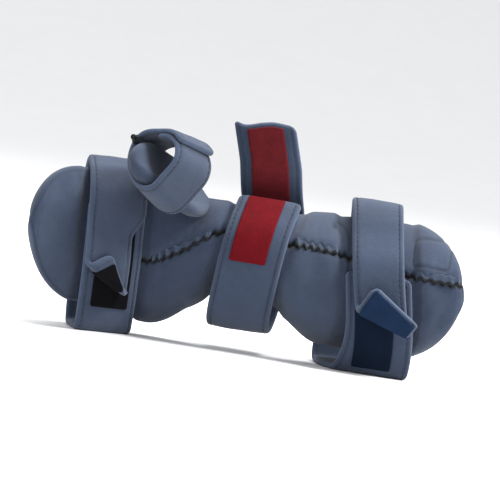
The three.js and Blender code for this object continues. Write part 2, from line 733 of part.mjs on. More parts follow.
// the folded corner shows the loop patch of the strap's inner face, cut along the fold
const fingerEndShift = -0.15 * FINGER_STRAP_WIDTH;
add(
  "finger_end_patch",
  patch(finger, {
    from: finger.fold.at + Math.tan(-finger.fold.slant) * fingerEndShift + STRAP,
    to: finger.path.length - 0.7 * PATCH_END,
    half: FINGER_CLOSING / 2 - 1.2 * PATCH_BORDER,
    shift: fingerEndShift,
    out: -edge,
    steps: 8,
    fold: finger.fold,
  }),
  BLACK,
  0.95,
);
add(
  "wrist_hook_patch",
  patch(wrist, {
    from: PATCH_END,
    to: reaches(wrist.path, -0.17 * WRIST_WIDTH),
    half: STRAP_WIDTH / 2 - 1.45 * PATCH_BORDER,
    shift: -0.04 * STRAP_WIDTH,
    steps: 16,
  }),
  BRIGHT_RED,
  0.9,
);
add(
  "wrist_end_patch",
  patch(wrist, {
    from: wrist.path.length - 1.2 * STRAP_WIDTH,
    to: wrist.path.length - PATCH_END,
    half: STRAP_WIDTH / 2 - 1.37 * PATCH_BORDER,
    out: -edge,
    steps: 14,
  }),
  DARK_RED,
  0.9,
);
add(
  "forearm_hook_patch",
  patch(forearm, {
    from: PATCH_END,
    to: reaches(forearm.path, FLOOR + 1.4 * STRAP),
    half: FOREARM_STRAP_WIDTH / 2 - 1.5 * PATCH_BORDER,
    shift: -0.08 * FOREARM_STRAP_WIDTH,
    steps: 22,
  }),
  NAVY,
  0.95,
);
add(
  "forearm_end_patch",
  patch(forearm, {
    from: forearm.fold.at + 1.6 * STRAP,
    to: forearm.path.length - 0.7 * PATCH_END,
    half: CLOSING_WIDTH / 2 - 0.3 * PATCH_BORDER,
    out: -edge,
    steps: 8,
    fold: forearm.fold,
  }),
  NAVY,
  0.95,
);
const labelMiddle = 0.47 * forearm.loop.length;
add(
  "care_label",
  strip(forearm.surface, {
    from: labelMiddle - LABEL_WIDTH / 2,
    to: labelMiddle + LABEL_WIDTH / 2,
    half: LABEL_LENGTH / 2,
    thick: LABEL,
    out: STRAP / 2 + CLEAR + LABEL / 2,
    corner: 1,
    steps: 8,
  }),
  WHITE,
  0.7,
);

// Set down: the middle of its box over the origin, its lowest face on z = 0.
const box = new THREE.Box3().setFromObject(group);
const middle = box.getCenter(new THREE.Vector3());
group.position.set(-middle.x, -middle.y, -box.min.z);

export default group;
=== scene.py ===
# %% [markdown]
# # A resting hand splint
# The splint is a padded fabric cover over a stiff frame, bent like a gutter, with a finger, a palm and a
# forearm stretch and a padded thumb rest. Four soft straps go round it. This lesson dresses the packed
# model: each soft piece is worked out as a surface with numpy, in millimetres, from the same sizes as the
# model's.

# %% Load the model that the pieces are built around
import math

import bpy
import numpy as np
from mathutils import Matrix, Vector


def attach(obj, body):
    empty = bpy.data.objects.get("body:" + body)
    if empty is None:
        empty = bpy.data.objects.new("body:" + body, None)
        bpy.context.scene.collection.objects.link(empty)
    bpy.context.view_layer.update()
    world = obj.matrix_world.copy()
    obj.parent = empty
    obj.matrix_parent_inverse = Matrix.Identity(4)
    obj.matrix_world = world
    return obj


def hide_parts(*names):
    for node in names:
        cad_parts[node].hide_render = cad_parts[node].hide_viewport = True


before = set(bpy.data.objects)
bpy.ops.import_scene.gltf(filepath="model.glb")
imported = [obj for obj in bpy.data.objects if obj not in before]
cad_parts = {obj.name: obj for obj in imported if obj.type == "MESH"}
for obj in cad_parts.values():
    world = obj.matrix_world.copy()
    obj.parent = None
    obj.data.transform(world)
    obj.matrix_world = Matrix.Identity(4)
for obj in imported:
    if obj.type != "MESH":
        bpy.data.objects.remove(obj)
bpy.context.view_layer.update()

MM = 0.001

# %% [markdown]
# ## Sizes
# The same driving sizes as the model's. The origin is at the wrist, X runs from the finger end to the
# forearm end, Y from the palm side to the back and Z up to the thumb rest. The numbers could stand where
# they are used, but a table of shares shows the whole form at a glance and follows a size that changes.

# %% Sizes of the pan, the thumb rest and the straps, in millimetres
HAND_LENGTH = 159.5
FOREARM_LENGTH = 167.0
FINGER_WIDTH = 110.0
WRIST_WIDTH = 73.0
FOREARM_WIDTH = 109.0
FINGER_END = 47.5
FOREARM_END = 55.0
PALM_LIFT = 22.0
FINGER_DROP = 50.0
TROUGH_DEPTH = 44.0
PALM_DEPTH = 24.0
PAD = 13.0
DENT = 2.4
DENT_EDGE = 6.5
THUMB_REST_WIDTH = 42.0
THUMB_REST_PAD = 13.0
THUMB_REST_REACH = 29.0
THUMB_HOLLOW = 25.0
THUMB_REST_SINK = 5.0
STRAP_WIDTH = 48.0
STRAP = 5.0
FINGER_STRAP_WIDTH = 51.0
FOREARM_STRAP_WIDTH = 50.0
FINGER_CLOSING = 40.0
CLOSING_WIDTH = 39.0
FLARE = 9.0
THUMB_STRAP_WIDTH = 40.0
THUMB_STRAP = 4.0
THUMB_TAPER = 0.1
CORNER = 5.0
PATCH = 1.2
PATCH_BORDER = 7.0
PATCH_END = 3.0
LABEL = 1.0
LABEL_LENGTH = 44.0
LABEL_WIDTH = 24.0
CLEAR = 0.4
FLOOR = -83.0
RUFFLE = 1.4
RUFFLE_WIDTH = 6.0
RUFFLE_PITCH = 6.5
SEAM_STOP = 6.0
SEAM_END = 5.0
FINGER_HOLLOW = 50.0
WRIST_HOLLOW = 62.0
FOREARM_HOLLOW = 74.0

# Sections of the pan: place along it, edges as shares of the width, lift and drop of its middle, rise of the
# thumb side and the little-finger side as shares of the depth, and how far the wall turns up in degrees
SECTION_COLUMNS = ("along", "width", "depth", "top", "bottom", "lift", "drop", "thumb", "little", "turn")
SECTIONS = [
    (-1.00, FINGER_WIDTH, PALM_DEPTH, 0.41, -0.61, 1.0, 1.0, 0.42, 0.48, 52),
    (-0.70, FINGER_WIDTH, PALM_DEPTH, 0.385, -0.61, 1.0, 0.44, 0.5, 0.6, 55),
    (-0.56, FINGER_WIDTH, PALM_DEPTH, 0.37, -0.63, 1.0, 0.14, 0.58, 0.78, 58),
    (-0.42, FINGER_WIDTH, PALM_DEPTH, 0.35, -0.68, 1.0, 0.0, 0.68, 1.3, 74),
    (-0.27, FINGER_WIDTH, PALM_DEPTH, 0.28, -0.535, 0.82, 0.0, 0.75, 1.4, 76),
    (-0.11, WRIST_WIDTH, TROUGH_DEPTH, 0.42, -0.53, 0.42, 0.0, 0.55, 0.75, 78),
    (0.04, WRIST_WIDTH, TROUGH_DEPTH, 0.43, -0.57, 0.1, 0.0, 0.68, 0.7, 80),
    (0.20, WRIST_WIDTH, TROUGH_DEPTH, 0.415, -0.7, 0.0, 0.0, 0.82, 0.74, 84),
    (0.37, FOREARM_WIDTH, TROUGH_DEPTH, 0.295, -0.62, 0.0, 0.0, 0.95, 0.92, 88),
    (0.55, FOREARM_WIDTH, TROUGH_DEPTH, 0.325, -0.665, 0.0, 0.0, 1.0, 1.0, 88),
    (1.00, FOREARM_WIDTH, TROUGH_DEPTH, 0.325, -0.665, 0.0, 0.0, 0.8, 0.86, 84),
]
ENDS = {
    "finger": {"middle": -0.07, "square": (2.7, 1.85)},
    "forearm": {"middle": -0.155, "square": (2.2, 2.0)},
}
SEAM_COLUMNS = ("along", "height")
SEAM = [
    (-0.62, -0.36),
    (-0.44, -0.31),
    (-0.27, -0.14),
    (-0.19, -0.02),
    (-0.09, 0.08),
    (0.17, 0.06),
    (0.44, 0.03),
    (0.74, -0.06),
    (1.00, -0.07),
]
ROUND_COLUMNS = ("deep", "back", "width", "high", "up")
ROUND_ROWS = {
    "finger": (FINGER_HOLLOW, 0.42, FINGER_WIDTH, 1.27, -0.25),
    "wrist": (WRIST_HOLLOW, 0.484, WRIST_WIDTH, 1.288, -0.192),
    "forearm": (FOREARM_HOLLOW, 0.44, FOREARM_WIDTH, 1.25, -0.25),
}
ROUNDS = {key: dict(zip(ROUND_COLUMNS, row)) for key, row in ROUND_ROWS.items()}
# Where each strap's middle lies, how far it slants as it rises, and on its way to the back above and below
STRAP_COLUMNS = ("x", "lean", "above", "below", "half")
STRAP_ROWS = {
    "finger": (-0.625 * HAND_LENGTH, -0.06, 0.52, 0.45, FINGER_STRAP_WIDTH / 2),
    "wrist": (0.045 * FOREARM_LENGTH, 0.11, 0.0, 0.0, STRAP_WIDTH / 2),
    "forearm": (0.6 * FOREARM_LENGTH, -0.15, 0.0, -0.38, FOREARM_STRAP_WIDTH / 2),
}
STRAP_PLACES = {key: dict(zip(STRAP_COLUMNS, row)) for key, row in STRAP_ROWS.items()}

# %% [markdown]
# The model stands with the middle of its box over the origin. Its offset could be typed in, but two faces
# of the padded pan tell it: the forearm end in X, and the outer face of the trough in Y. The photograph's
# scale and roll are kept too, because the camera and one small knot are placed by them.

# %% The photograph's scale, its roll and the wrist's place in it
PHOTO_MM = 1.12
PHOTO_ROLL = math.radians(9)
PHOTO_WRIST = (240, 120)
KNOT_PIXEL = (166, 48)
PHOTO_RIGHT = np.array([math.cos(PHOTO_ROLL), 0, math.sin(PHOTO_ROLL)])
PHOTO_UP = np.array([-math.sin(PHOTO_ROLL), 0, math.cos(PHOTO_ROLL)])

# %% Where the wrist's origin stands in the model
def node_points(name):
    """A model node's vertices in millimetres."""
    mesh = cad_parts[name].data
    flat = np.empty(len(mesh.vertices) * 3)
    mesh.vertices.foreach_get("co", flat)
    return flat.reshape(-1, 3) / MM


pan_points = node_points("padded_pan")
end_x = pan_points[:, 0].max()
trough = pan_points[pan_points[:, 0] > end_x - 0.5 * FOREARM_END]
SET_DOWN = np.array([end_x - FOREARM_LENGTH, trough[:, 1].min() + PAD / 2, -FLOOR])
print("the wrist's origin stands at", SET_DOWN)

# %% [markdown]
# ## Surfaces from formulas
# The cover's form changes smoothly from end to end. It could be pulled into shape by hand from a box, but
# then no strap would know where it lies. So a curve runs through each column of the table without
# overshooting, and everything below takes whole arrays.

# %% Curves, easing and the pan's columns
def curve(x, y):
    """Cubic pieces through (x, y) whose slopes are the harmonic means of their neighbours' slopes."""
    x, y = np.asarray(x, float), np.asarray(y, float)
    slope = np.diff(y) / np.diff(x)
    before = np.concatenate([slope[:1], slope])
    after = np.concatenate([slope, slope[-1:]])
    same = before * after > 0
    tangent = np.where(same, 2 * before * after / np.where(same, before + after, 1), 0)

    def read(at):
        i = np.clip(np.searchsorted(x, at, side="right") - 1, 0, len(x) - 2)
        h = x[i + 1] - x[i]
        t = np.clip((at - x[i]) / h, 0, 1)
        s = 1 - t
        ends = y[i] * (1 + 2 * t) * s * s + y[i + 1] * (3 - 2 * t) * t * t
        return ends + h * t * s * (tangent[i] * s - tangent[i + 1] * t)

    return read


# %% Steps, bells, ripples and rounded ends
def smooth(x, low, high):
    """0 below low, 1 above high, a soft step between."""
    t = np.clip((x - low) / (high - low), 0, 1)
    return t * t * (3 - 2 * t)


def hump(distance, width):
    """A bell of height 1: exp of minus the squared share of the width."""
    return np.exp(-((distance / width) ** 2))


def ripple(u, v, size, seed):
    """Soft unevenness between about -1 and 1: seven sine waves in seeded directions, near one wavelength."""
    rng = np.random.default_rng(seed)
    total = 0
    for _ in range(7):
        angle, phase, stretch = rng.uniform(0, 2 * np.pi, 2).tolist() + [rng.uniform(0.7, 1.7)]
        run = (u * np.cos(angle) + v * np.sin(angle)) / (size * stretch)
        total = total + np.sin(2 * np.pi * run + phase) / 3
    return total


def swell(distance, radius):
    """How much of a rounded edge's thickness stands at this distance from the end: a quarter circle."""
    t = np.clip(1 - distance / radius, 0, 1)
    return np.sqrt(1 - t * t)


def rounding(share, square):
    """What is left of the width at this share of an end's length: a superellipse."""
    return np.maximum(1 - share**square, 0) ** (1 / square)


def stations(start, end, count, closeness):
    """Places from start to end, closer together near both ends."""
    t = np.linspace(0, 1, count + 1)
    eased = (1 - np.cos(np.pi * t)) / 2
    return start + (end - start) * (t + (eased - t) * closeness)


# %% The tables as curves along the pan
def columns_of(table, names):
    """A table's columns by name, as arrays."""
    return {name: np.array(values, float) for name, values in zip(names, zip(*table))}


def along_pan(share):
    """A share of the length on its own side of the wrist, in millimetres."""
    return share * np.where(share < 0, HAND_LENGTH, FOREARM_LENGTH)


rows = columns_of(SECTIONS, SECTION_COLUMNS)
places = along_pan(rows["along"])
pan_top = curve(places, rows["top"] * rows["width"])
pan_bottom = curve(places, rows["bottom"] * rows["width"])
pan_level = curve(places, rows["lift"] * PALM_LIFT - rows["drop"] * FINGER_DROP)
thumb_rise = curve(places, rows["thumb"] * rows["depth"])
little_rise = curve(places, rows["little"] * rows["depth"])
pan_turn = curve(places, np.radians(rows["turn"]))
seam_rows = columns_of(SEAM, SEAM_COLUMNS)
seam_places = along_pan(seam_rows["along"])
seam_height = curve(seam_places, seam_rows["height"] * WRIST_WIDTH)
print("the pan has", len(places), "sections and its seam", len(seam_places), "places")

# %% [markdown]
# The pan is a sheet of padding whose cut is two quarter ellipses with a common flat middle. A point of it
# has a place along it, a share across it from -1 to 1, and a distance out of its middle surface. A Bend
# modifier on a flat pad could give much the same, but with a formula the straps, the seam and the
# stitches can ask for the same surface and sit on it.

# %% The pan's surface
def outline(x):
    """Upper and lower edge of the pan at x, rounded off towards both ends."""
    top, bottom = pan_top(x), pan_bottom(x)
    ends = (
        (ENDS["finger"], (-HAND_LENGTH + FINGER_END - x) / FINGER_END, FINGER_WIDTH),
        (ENDS["forearm"], (x - FOREARM_LENGTH + FOREARM_END) / FOREARM_END, FOREARM_WIDTH),
    )
    for end, share, width in ends:
        middle = end["middle"] * width
        s = np.clip(share, 0, 1)
        top = middle + (top - middle) * rounding(s, end["square"][0])
        bottom = middle + (bottom - middle) * rounding(s, end["square"][1])
    return top, bottom


def section(x, side):
    """Height, rise and outward direction of the cut at x, and how fast its length grows with side."""
    top, bottom = outline(x)
    turn = pan_turn(x)
    half = np.maximum((top - bottom) / 2 - PAD / 2 * np.sin(turn), (top - bottom) * 0.3)
    share = np.minimum((top - bottom) / (pan_top(x) - pan_bottom(x)), 1)
    rise = np.where(side > 0, thumb_rise(x), little_rise(x)) * share**2
    angle = side * turn
    z = (top + bottom) / 2 + half * np.sin(angle) / np.sin(turn)
    up = rise * (1 - np.cos(angle)) / (1 - np.cos(turn))
    dz = half * np.cos(angle) / np.sin(turn)
    du = rise * np.sin(angle) / (1 - np.cos(turn))
    long = np.hypot(dz, du)
    safe = np.where(long > 0, long, 1)
    return z, up, du / safe, -dz / safe, long * turn


def section_length(x):
    """Half the length of the cut at x, by the middle rule in 24 steps."""
    side = (np.arange(24) + 0.5) / 12 - 1
    return section(x[..., None], side)[4].mean(-1)


def spine(x):
    """Direction of the pan's bent line at x and the way to the back, as X and Y."""
    rise = pan_level(x + 0.5) - pan_level(x - 0.5)
    long = np.hypot(1.0, rise)
    return 1 / long, rise / long


def pan_surface(x, side, out):
    """Points of the pan: x along it, side across it, out of its middle surface towards the palm side."""
    z, up, nz, nu, _ = section(x, side)
    dx, dy = spine(x)
    back = up + out * nu
    return np.stack(np.broadcast_arrays(x - dy * back, pan_level(x) + dx * back, z + out * nz), -1)


# %% A strap's frame on the pan
def slide(strap, back, up):
    """How far a strap's middle is moved along its frame at a point of its way round."""
    down = smooth(-up, 0, -FLOOR)
    return strap["lean"] * up + back * (strap["above"] + (strap["below"] - strap["above"]) * down)


def strap_frame(strap):
    """The strap's origin on the bent line, its direction along the pan and its way to the back."""
    x = np.array(strap["x"])
    dx, dy = spine(x)
    return np.array([strap["x"], float(pan_level(x)), 0]), np.array([dx, dy, 0]), np.array([-dy, dx, 0])


def from_strap(points, strap):
    """How far points lie from a strap's middle, along the strap's frame."""
    origin, direction, back = strap_frame(strap)
    d = points - origin
    return d @ direction - slide(strap, d @ back, d[..., 2])


def strap_dent(points):
    """How deep the straps press the padding in at points of the outer face."""
    depth = np.zeros(points.shape[:-1])
    for strap in STRAP_PLACES.values():
        start = strap["half"] + 0.23 * DENT_EDGE
        pressed = 1 - smooth(np.abs(from_strap(points, strap)), start, start + DENT_EDGE)
        depth = np.maximum(depth, DENT * pressed)
    return depth


# %% Where a height lies on the pan
def side_at(x, z):
    """The share across the pan at which its middle surface has this height."""
    top, bottom = outline(x)
    turn = pan_turn(x)
    half = (top - bottom) / 2 - PAD / 2 * np.sin(turn)
    return np.arcsin(np.clip((z - (top + bottom) / 2) * np.sin(turn) / half, -0.99, 0.99)) / turn


# %% [markdown]
# The cut of any padded sheet is a flat band with round edges. Solidify and Bevel could make it from a
# flat sheet. Here its points run round it once, so a grid of them closes on itself with rounds of its
# own. Where its thickness runs out, upper and lower points meet and are merged into one edge.

# %% From grids of points to meshes
def rim(half, thick, flats, rounds, warp=lambda v: v):
    """Across and through: two flats from edge to edge, joined by half circles of half the thickness."""
    r = np.minimum(thick / 2, half * 0.98)
    flat = half - r
    run = 2 * np.arange(flats) / flats - 1
    angle = np.pi * np.arange(rounds) / rounds
    band = thick / 2 * np.ones(flats)
    bow = flat + r * np.sin(angle)
    dip = thick / 2 * np.cos(angle)
    w = np.concatenate([flat * warp(run), bow, flat * warp(-run), -bow], axis=1)
    h = np.concatenate([band, dip, -band, -dip], axis=1)
    return w, h


def merged_faces(ids):
    """Quads of a grid of vertex numbers, wrapped across; those with a repeated corner become triangles."""
    a, b = ids[:-1], ids[1:]
    quads = np.stack([a, np.roll(a, -1, 1), np.roll(b, -1, 1), b], -1).reshape(-1, 4)
    same = quads == np.roll(quads, -1, 1)
    whole = quads[~same.any(1)]
    single = quads[same.sum(1) == 1]
    keep = ~same[same.sum(1) == 1]
    return whole.tolist() + single[keep].reshape(-1, 3).tolist()


# %% From points and faces to pieces
MERGE = 2e-6


def merged_points(points):
    """A grid's points in metres, none below the floor and each once; the first and the number of each."""
    flat = (points.reshape(-1, 3) + SET_DOWN) * MM
    flat[:, 2] = np.maximum(flat[:, 2], 0)
    _, first, inverse = np.unique(np.round(flat / MERGE), axis=0, return_index=True, return_inverse=True)
    return flat[first], first, inverse.reshape(points.shape[:2])


def new_piece(name, points, faces):
    """A smooth mesh object from points in metres and faces."""
    mesh = bpy.data.meshes.new(name)
    mesh.from_pydata(points.tolist(), [], faces)
    mesh.polygons.foreach_set("use_smooth", np.ones(len(mesh.polygons), bool))
    piece = bpy.data.objects.new(name, mesh)
    bpy.context.scene.collection.objects.link(piece)
    return piece


def signed_volume(mesh):
    """A sixth of the sum of the triple products of each triangle's corners."""
    mesh.calc_loop_triangles()
    co = np.empty(len(mesh.vertices) * 3)
    mesh.vertices.foreach_get("co", co)
    corners = np.empty(len(mesh.loop_triangles) * 3, int)
    mesh.loop_triangles.foreach_get("vertices", corners)
    a, b, c = co.reshape(-1, 3)[corners.reshape(-1, 3)].transpose(1, 0, 2)
    return float((a * np.cross(b, c)).sum() / 6)


def face_outwards(mesh):
    """Turns every face over where the signed volume is below zero."""
    if signed_volume(mesh) < 0:
        mesh.flip_normals()


def shell(name, points, marks=None):
    """A closed mesh object from a grid of points in millimetres; marks are values kept at each point."""
    merged, first, ids = merged_points(points)
    piece = new_piece(name, merged, merged_faces(ids))
    piece.data.validate()
    face_outwards(piece.data)
    for mark, values in (marks or {}).items():
        kept = np.broadcast_to(values, points.shape[:2]).reshape(-1)[first]
        layer = piece.data.attributes.new(mark, "FLOAT", "POINT")
        layer.data.foreach_set("value", kept.astype(np.float32))
    print(name, len(piece.data.polygons), "faces")
    return piece


# %% [markdown]
# ## Shader maths
# A pattern is a sum of noises and marks. Its nodes could be wired one by one, but one small class that
# wraps a socket lets the pattern be written as a sum, which is easier to read and to change. Numbers
# alone are worked out in Python.

# %% Wires and materials
class Wire:
    """A node's output with the operators of arithmetic."""

    def __init__(self, tree, socket):
        self.tree = tree
        self.socket = socket

    def sum_node(self, operation, first, second):
        """A Math node; its two inputs are wires or numbers."""
        node = self.tree.nodes.new("ShaderNodeMath")
        node.operation = operation
        for slot, value in zip(node.inputs, (first, second)):
            if isinstance(value, Wire):
                self.tree.links.new(value.socket, slot)
            else:
                slot.default_value = value
        return Wire(self.tree, node.outputs[0])

    def __add__(self, other):
        return self.sum_node("ADD", self, other)

    def __radd__(self, other):
        return self.sum_node("ADD", other, self)

    def __sub__(self, other):
        return self.sum_node("SUBTRACT", self, other)

    def __rsub__(self, other):
        return self.sum_node("SUBTRACT", other, self)

    def __mul__(self, other):
        return self.sum_node("MULTIPLY", self, other)

    def __rmul__(self, other):
        return self.sum_node("MULTIPLY", other, self)

    def clamped(self):
        """Kept between 0 and 1."""
        return self.sum_node("MINIMUM", self.sum_node("MAXIMUM", self, 0.0), 1.0)


# %% A material and its nodes
class Finish:
    """A material whose nodes are added one by one, with its Principled shader at hand."""

    def __init__(self, name, roughness, sheen=0.0, specular=0.3):
        self.material = bpy.data.materials.new(name)
        self.material.use_nodes = True
        self.tree = self.material.node_tree
        self.shader = self.tree.nodes["Principled BSDF"]
        self.shader.inputs["Roughness"].default_value = roughness
        self.shader.inputs["Specular IOR Level"].default_value = specular
        self.shader.inputs["Sheen Weight"].default_value = sheen
        self.shader.inputs["Sheen Roughness"].default_value = 0.6

    def node(self, kind, settings=None, out=0, **sockets):
        """Adds a node: its settings first, then the values or links of its sockets."""
        made = self.tree.nodes.new("ShaderNode" + kind)
        for key, value in (settings or {}).items():
            setattr(made, key, value)
        for key, value in sockets.items():
            slot = made.inputs[int(key[1:]) if key[1:].isdigit() else key]
            if isinstance(value, Wire):
                self.tree.links.new(value.socket, slot)
            else:
                slot.default_value = value
        return Wire(self.tree, made.outputs[out])

    def place(self):
        """Coordinates on the object, in metres."""
        return self.node("TexCoord", out=3)

    def mark(self, name):
        """A value kept at the mesh's points."""
        return self.node("Attribute", {"attribute_name": name}, out=2)

    def noise(self, size, detail=2.0, rough=0.5):
        """Noise from 0 to 1 with lumps of this size in millimetres."""
        scale = 1 / (size * MM)
        return self.node("TexNoise", Vector=self.place(), Scale=scale, Detail=detail, Roughness=rough)

    def mix(self, share, dark, light):
        """Two colours mixed: dark at share 0 and light at 1."""
        return self.node("Mix", {"data_type": "RGBA"}, out=2, _0=share, _6=dark, _7=light)

    def finish(self, colour, height=None, depth=1.0):
        """Links the colour, and a bump whose full height is this depth in millimetres."""
        links = self.tree.links
        links.new(colour.socket, self.shader.inputs["Base Color"])
        if height is not None:
            bump = self.node("Bump", Strength=1.0, Distance=depth * MM, Height=height)
            links.new(bump.socket, self.shader.inputs["Normal"])
        return self.material


def linear(red, green, blue):
    """A colour as seen on screen, 0 to 255, as the linear colour that a shader takes."""
    c = np.array([red, green, blue]) / 255
    return (*np.where(c <= 0.04045, c / 12.92, ((c + 0.055) / 1.055) ** 2.4), 1.0)


# %% [markdown]
# ## The fabric
# The cover and the straps are a soft loop fabric laminated on foam: matt and a little mottled. An image could
# show it, but noise in three sizes needs no unwrapping and has the same scale on every piece. The light that
# a fine nap catches at the edges is a painted highlight: one mark tells the shader where an edge is, and the
# colour is lightened there. Sewn lines, grooves and folds sink in, and another mark darkens them: partly the
# seams' own dark colour, partly painted shade.

# %% Fabric, tape, label and thread
def fabric(name, base):
    """Brushed loop fabric: mottling in three sizes, a nap as bump, a painted highlight on the edges, painted
    shade and dark seams in sewn lines.
    """
    f = Finish(name, roughness=0.92, sheen=0.12, specular=0.15)
    cloud = f.noise(26, 2)
    mottle = f.noise(5.5, 3, 0.6)
    nap = f.noise(0.85, 3, 0.65)
    share = (cloud * 0.45 + mottle * 0.35 + nap * 0.5 - 0.15).clamped()
    light = linear(*(c * 1.16 + 4 for c in base))
    dark = linear(*(c * 0.8 for c in base))
    dyed = f.mix(share, dark, light)
    # Painted highlight: the fabric is lightened on its rounded edges, where the nap would catch the light.
    with_edge_highlight = f.mix((f.mark("edge_highlight") * 0.65).clamped(), dyed, linear(*(c * 1.42 + 6 for c in base)))
    # Painted shade and dark seams: sewn lines, grooves and folds are darkened where they sink in.
    sewn_and_shade = f.mix(f.mark("sewn_and_shade").clamped(), with_edge_highlight, linear(*(c * 0.16 for c in base)))
    pile = nap * 0.75 + mottle * 0.45
    return f.finish(sewn_and_shade, pile, 0.55)


def tape(name, base, glint):
    """Hook or loop tape: a fine fuzz, light and dark by noise in two sizes, and raised as bump."""
    f = Finish(name, roughness=0.9, specular=0.1)
    fuzz = f.noise(1.1, 3, 0.7)
    patch = f.noise(9, 2)
    share = (fuzz * 0.8 + patch * 0.5 - 0.2).clamped()
    dyed = f.mix(share, linear(*(c * 0.75 for c in base)), linear(*(c * 1.2 + glint for c in base)))
    return f.finish(dyed, fuzz, 0.5)


def ribbon(name):
    """The label's smooth white ribbon: a fine grain, soft shading and a grey sewn line."""
    f = Finish(name, roughness=0.6, specular=0.3)
    stain = f.noise(12, 3, 0.6)
    rib = f.noise(0.5, 1)
    dyed = f.mix((stain * 0.8 + rib * 0.2).clamped(), linear(142, 142, 141), linear(178, 177, 175))
    sewn_and_shade = f.mix(f.mark("sewn_and_shade").clamped(), dyed, linear(84, 88, 96))
    return f.finish(sewn_and_shade, rib * 0.5 + stain * 1.5, 0.25)


def thread(name, base):
    """Twisted thread: light and dark by very fine noise."""
    f = Finish(name, roughness=0.7, specular=0.3)
    twist = f.noise(0.35, 2)
    dyed = f.mix(twist.clamped(), linear(*(c * 0.7 for c in base)), linear(*(c * 1.3 for c in base)))
    return f.finish(dyed, twist, 0.1)


# %% The splint's own colours
SLATE = (44, 54, 72)
COVER_FABRIC = fabric("cover_fabric", SLATE)
STRAP_FABRIC = fabric("strap_fabric", tuple(c * 1.03 for c in SLATE))
BLACK_TAPE = tape("black_hook", (4, 4, 8), 1)
RED_TAPE = tape("bright_red_hook", (88, 7, 15), 2)
DARK_RED_TAPE = tape("dark_red_loop", (84, 21, 26), 4)
NAVY_TAPE = tape("navy_hook", (6, 18, 34), 2)
NAVY_LOOP = tape("navy_loop", (14, 32, 56), 4)
LABEL_RIBBON = ribbon("white_label")
THREAD = thread("slate_thread", (34, 41, 54))
DARK_THREAD = thread("dark_thread", (10, 12, 16))

# %% [markdown]
# ## The padded pan
# The cover is filled with foam. It is tight over the frame, pressed in under the straps and a little
# fuller beside them. A plain offset would look like rubber, and a simulation of the fine mesh would be
# slow. So a coarse grid swells as cloth, and the fine grid takes over how far it moved, averaged a
# little.

# %% Cloth simulation of a coarse grid
CLOTH = {
    "quality": 6,
    "mass": 0.3,
    "tension_stiffness": 8,
    "compression_stiffness": 8,
    "shear_stiffness": 3,
    "bending_stiffness": 0.4,
    "use_pressure": True,
    "uniform_pressure_force": 3.0,
    "vertex_group_mass": "hold",
    "shrink_min": -0.03,
}
CLOTH_FRAMES = 20
CALMING = 3


def puffed(points, hold):
    """Lets a closed grid swell as cloth under pressure; hold pins it, 1 where it can't move."""
    piece = shell("swelling", points, {"hold": hold})
    mesh = piece.data
    count = len(mesh.vertices)
    held = np.empty(count, np.float32)
    mesh.attributes["hold"].data.foreach_get("value", held)
    group = piece.vertex_groups.new(name="hold")
    for level in np.unique(np.round(held, 1)):
        chosen = np.flatnonzero(np.round(held, 1) == level)
        group.add(chosen.tolist(), float(level), "REPLACE")
    cloth = piece.modifiers.new("cloth", "CLOTH").settings
    for key, value in CLOTH.items():
        setattr(cloth, key, value)
    cloth.effector_weights.gravity = 0
    before = np.empty(count * 3, np.float32)
    mesh.vertices.foreach_get("co", before)
    scene = bpy.context.scene
    for step in range(1, CLOTH_FRAMES + 1):
        scene.frame_set(step)
    after = np.empty(count * 3, np.float32)
    depsgraph = bpy.context.evaluated_depsgraph_get()
    piece.evaluated_get(depsgraph).data.vertices.foreach_get("co", after)
    scene.frame_set(1)
    moved = (after - before).reshape(-1, 3) / MM
    bpy.data.objects.remove(piece)
    return moved[merged_points(points)[2]]


# %% Reading the moves of the coarse grid
def capped(moved, most):
    """The same moves, shortened softly so that none is longer than most."""
    long = np.linalg.norm(moved, axis=-1, keepdims=True)
    most = np.broadcast_to(most, moved.shape[:-1])[..., None]
    return moved * (most * np.tanh(long / np.maximum(most, 1e-6)) / np.maximum(long, 1e-9))


def calmed(field, passes):
    """A grid of moves averaged with its neighbours both ways, round the columns, this many times."""
    for _ in range(passes):
        long = np.concatenate([field[:1], field, field[-1:]])
        field = (long[:-2] + 2 * long[1:-1] + long[2:]) / 4
        field = (np.roll(field, 1, 1) + 2 * field + np.roll(field, -1, 1)) / 4
    return field


def read_grid(field, row, column):
    """Values of a grid between its points, by cubic curves both ways; columns run round."""
    n, m = field.shape[:2]
    r, c = np.broadcast_arrays(np.clip(row, 0, n - 1.001), column)
    i, j = np.floor(r).astype(int), np.floor(c).astype(int)
    u, v = r - i, c - j

    def weights(t):
        return (
            (-t + 2 * t**2 - t**3) / 2,
            (2 - 5 * t**2 + 3 * t**3) / 2,
            (t + 4 * t**2 - 3 * t**3) / 2,
            (-(t**2) + t**3) / 2,
        )

    total = 0
    for a, wu in enumerate(weights(u)):
        for b, wv in enumerate(weights(v)):
            near = field[np.clip(i + a - 1, 0, n - 1), (j + b - 1) % m]
            total = total + near * (wu * wv)[..., None]
    return total


# %% [markdown]
# Two grids share one function: a coarse one that swells, and a fine one that shows. The fine one crowds
# its lines near the seam, where a narrow groove has to be sharp. Subdividing everything as finely would
# do it too, with many more faces.

# %% The pan's grids
COARSE = {"rows": 84, "flats": 26, "rounds": 4}
FINE = {"rows": 380, "flats": 88, "rounds": 10}
SEAM_FOCUS = 0.07
SEAM_CROWD = 4.5


def towards_seam(x):
    """A change of the run across the pan that crowds its lines near the seam: v + k s tanh((v - c) / s)."""
    centre = side_at(x, seam_height(x))

    def warp(v):
        def total(u):
            return u + SEAM_CROWD * SEAM_FOCUS * np.tanh((u - centre) / SEAM_FOCUS)

        low, high = total(-1.0), total(1.0)
        goal = low + (high - low) * (v + 1) / 2
        u = np.broadcast_to(v, goal.shape).astype(float)
        for _ in range(40):
            slope = 1 + SEAM_CROWD / np.cosh((u - centre) / SEAM_FOCUS) ** 2
            u = np.clip(u - 0.7 * (total(u) - goal) / slope, -1, 1)
        return u

    return warp


